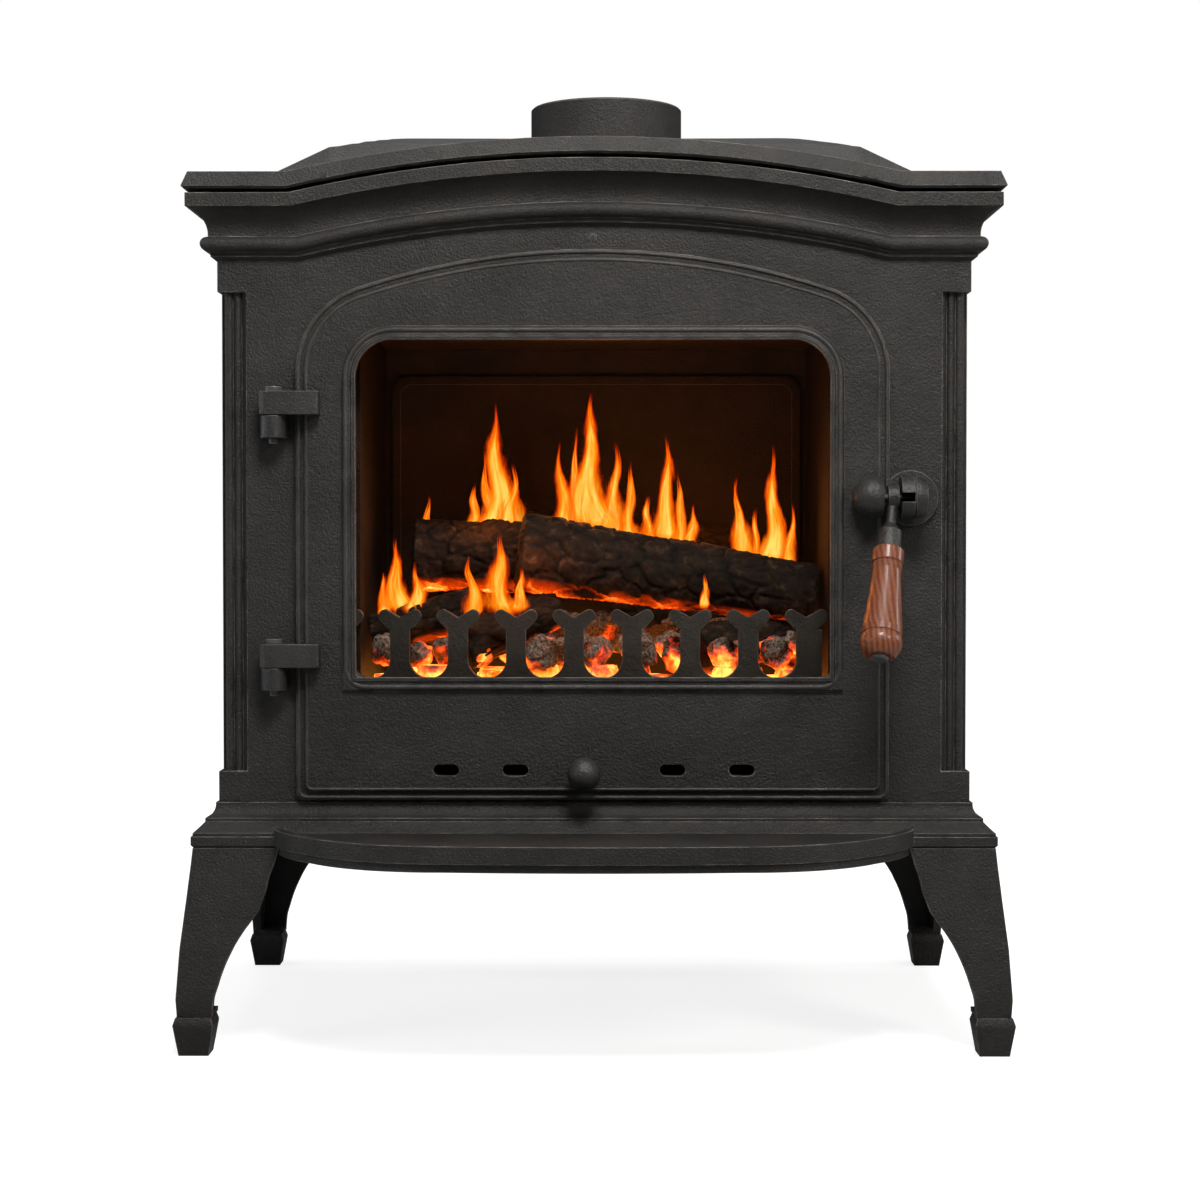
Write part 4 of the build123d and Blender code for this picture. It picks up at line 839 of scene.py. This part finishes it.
def tongue(name, x, top, width, base, y, sway, seed):
    """One flame: crossed curved sheets from a broad foot to a thin wandering tip, sizes in millimetres."""
    rows, cols = 56, 14
    verts, faces, across, up = [], [], [], []
    for sheet, turn in enumerate((0.0, 0.9, -0.9)):
        start = len(verts)
        for i in range(rows + 1):
            t = i / rows
            foot = min(1.0, 0.55 + 3.2 * t)
            half = width * foot * (1 - t) ** 1.25 * (1 + 0.22 * math.sin(11 * t + seed * 2.1 + sheet))
            half += width * 0.05 * (1 - t)
            lick = width * 0.22 * math.sin(8 * t + seed * 1.7) * t * (1 - t) * 2
            drift = sway * math.sin(3.4 * t + seed) * (1 - t) + lick
            for k in range(cols + 1):
                u = 2 * k / cols - 1
                bow = 0.25 * half * (1 - u * u)
                side, depth = u * half, bow + 2 * math.sin(5 * t + seed + sheet)
                px = x + drift + side * math.cos(turn) - depth * math.sin(turn)
                py = y + side * math.sin(turn) + depth * math.cos(turn)
                verts.append((px * MM, py * MM, (base + (top - base) * t) * MM))
                across.append(abs(u))
                up.append(t)
        for i in range(rows):
            for k in range(cols):
                c = start + i * (cols + 1) + k
                faces.append((c, c + 1, c + cols + 2, c + cols + 1))
    piece = add_mesh(name, verts, faces)
    store(piece, "across", across)
    store(piece, "up", up)
    piece.data.shade_smooth()
    return piece


fire = flame_material()
for number, (x, top, width, base, y, sway) in enumerate(FLAMES):
    flame = tongue("flame_%02d" % number, x, top, width, base, y, sway, number * 1.3)
    flame.visible_shadow = False
    dress(flame, fire, "root")
print("flames", len(FLAMES))


# %% [markdown]
# The floor and the backdrop are plain and pale. Light Path lets them show white to the camera and through the
# glass, while they send only a little light to the stove, so its black iron stays black. The floor glows
# a little less close to the stove: a painted shadow around it, on top of the shadow the lamps cast.

# %% Floor, world and lamps
def floor_material():
    material, tree, shader = new_material("pale_floor")
    output = tree.nodes["Material Output"]
    shader.inputs["Base Color"].default_value = (0.45, 0.45, 0.45, 1.0)
    shader.inputs["Roughness"].default_value = 0.9
    path = add(tree, "ShaderNodeLightPath")
    seen = maths(tree, "ADD", path.outputs["Is Camera Ray"], path.outputs["Is Transmission Ray"], clamp=True)
    place = add(tree, "ShaderNodeTexCoord")
    far = add(tree, "ShaderNodeVectorMath", operation="LENGTH")
    tree.links.new(place.outputs["Object"], far.inputs[0])
    # Less glow near the stove: a painted shadow on the floor
    painted_shadow_range = {"From Min": 0.55, "From Max": 1.5, "To Min": 0.80, "To Max": 1.0}
    painted_shadow_falloff = add(tree, "ShaderNodeMapRange", painted_shadow_range)
    tree.links.new(far.outputs["Value"], painted_shadow_falloff.inputs["Value"])
    glow = add(tree, "ShaderNodeEmission", {"Color": (1, 1, 1, 1)})
    tree.links.new(maths(tree, "MULTIPLY", seen, painted_shadow_falloff.outputs["Result"]), glow.inputs["Strength"])
    both = add(tree, "ShaderNodeAddShader")
    tree.links.new(shader.outputs[0], both.inputs[0])
    tree.links.new(glow.outputs[0], both.inputs[1])
    tree.links.new(both.outputs[0], output.inputs["Surface"])
    return material


FAR = 9
floor = add_mesh("floor", [(-FAR, -FAR, 0), (FAR, -FAR, 0), (FAR, FAR, 0), (-FAR, FAR, 0)], [(0, 1, 2, 3)])
floor.data.materials.append(floor_material())

world = bpy.data.worlds.new("pale_room")
bpy.context.scene.world = world
world.use_nodes = True
sky = world.node_tree
back = sky.nodes["Background"]
path = add(sky, "ShaderNodeLightPath")
white_seen = maths(sky, "ADD", path.outputs["Is Camera Ray"], path.outputs["Is Transmission Ray"], clamp=True)
ROOM_LIGHT = 0.07
level = maths(sky, "ADD", maths(sky, "MULTIPLY", white_seen, 1 - ROOM_LIGHT), ROOM_LIGHT)
sky.links.new(level, back.inputs["Strength"])
back.inputs["Color"].default_value = (1, 1, 1, 1)


# %% Lamps
def lamp(name, place, target, size, power, colour=(1, 1, 1), tall=None):
    """A soft box that looks at its target."""
    data = bpy.data.lights.new(name, "AREA")
    data.shape = "RECTANGLE"
    data.size = size
    data.size_y = tall or size
    data.energy = power
    data.color = colour
    light = link_object(name, data)
    light.location = place
    light.rotation_euler = (Vector(target) - Vector(place)).to_track_quat("-Z", "Y").to_euler()


def glow_lamp(name, place, power, radius, colour):
    """The fire's own light, which the flames are too thin to give."""
    data = bpy.data.lights.new(name, "POINT")
    data.energy = power
    data.shadow_soft_size = radius
    data.color = colour
    light = link_object(name, data)
    light.location = place


lamp("key_top", (0.18, -1.2, 1.75), (0.02, -0.1, 0.66), 0.6, 40, (1.0, 0.96, 0.92), tall=0.4)
lamp("key_right", (1.5, -1.6, 1.5), (0.0, 0, 0.5), 0.5, 16, (1.0, 0.97, 0.93))
lamp("fill_left", (-2.0, -1.4, 1.0), (0, 0, 0.4), 0.7, 7, (0.95, 0.97, 1.0))
lamp("top", (0, 0.3, 2.4), (0, 0, 0.6), 1.4, 26)
lamp("edge_right", (2.2, 0.2, 1.0), (0, 0, 0.5), 0.6, 12)
lamp("edge_left", (-2.2, 0.2, 1.0), (0, 0, 0.5), 0.6, 12)
fire_colour = (1.0, 0.30, 0.06)
glow_lamp("fire_low", (0.0, 0.0, 0.50), 0.7, 0.03, fire_colour)
glow_lamp("fire_left", (-0.10, -0.03, 0.47), 0.22, 0.03, fire_colour)
glow_lamp("fire_right", (0.11, 0.02, 0.48), 0.22, 0.03, fire_colour)
glow_lamp("fire_coals", (-0.06, -0.128, 0.43), 0.30, 0.03, (1.0, 0.3, 0.08))
bpy.context.scene.view_settings.view_transform = "Standard"


# %% [markdown]
# The photograph looks at the stove from straight ahead, at the height of its window. The camera stands there
# with a short portrait lens, pitched down by a degree or so, until the corners of the plate, the plinth and
# the feet fall where they do in the photograph.

# %% Camera
PITCH_DOWN, YAW = 1.35, 0.27
lens = bpy.data.cameras.new("camera")
lens.lens, lens.sensor_width = 71.4, 36.0
camera = link_object("camera", lens)
camera.location = (0.015, -2.2265, 0.443)
camera.rotation_euler = (math.radians(90 - PITCH_DOWN), 0, math.radians(YAW))
bpy.context.scene.camera = camera
print("camera at", tuple(camera.location))
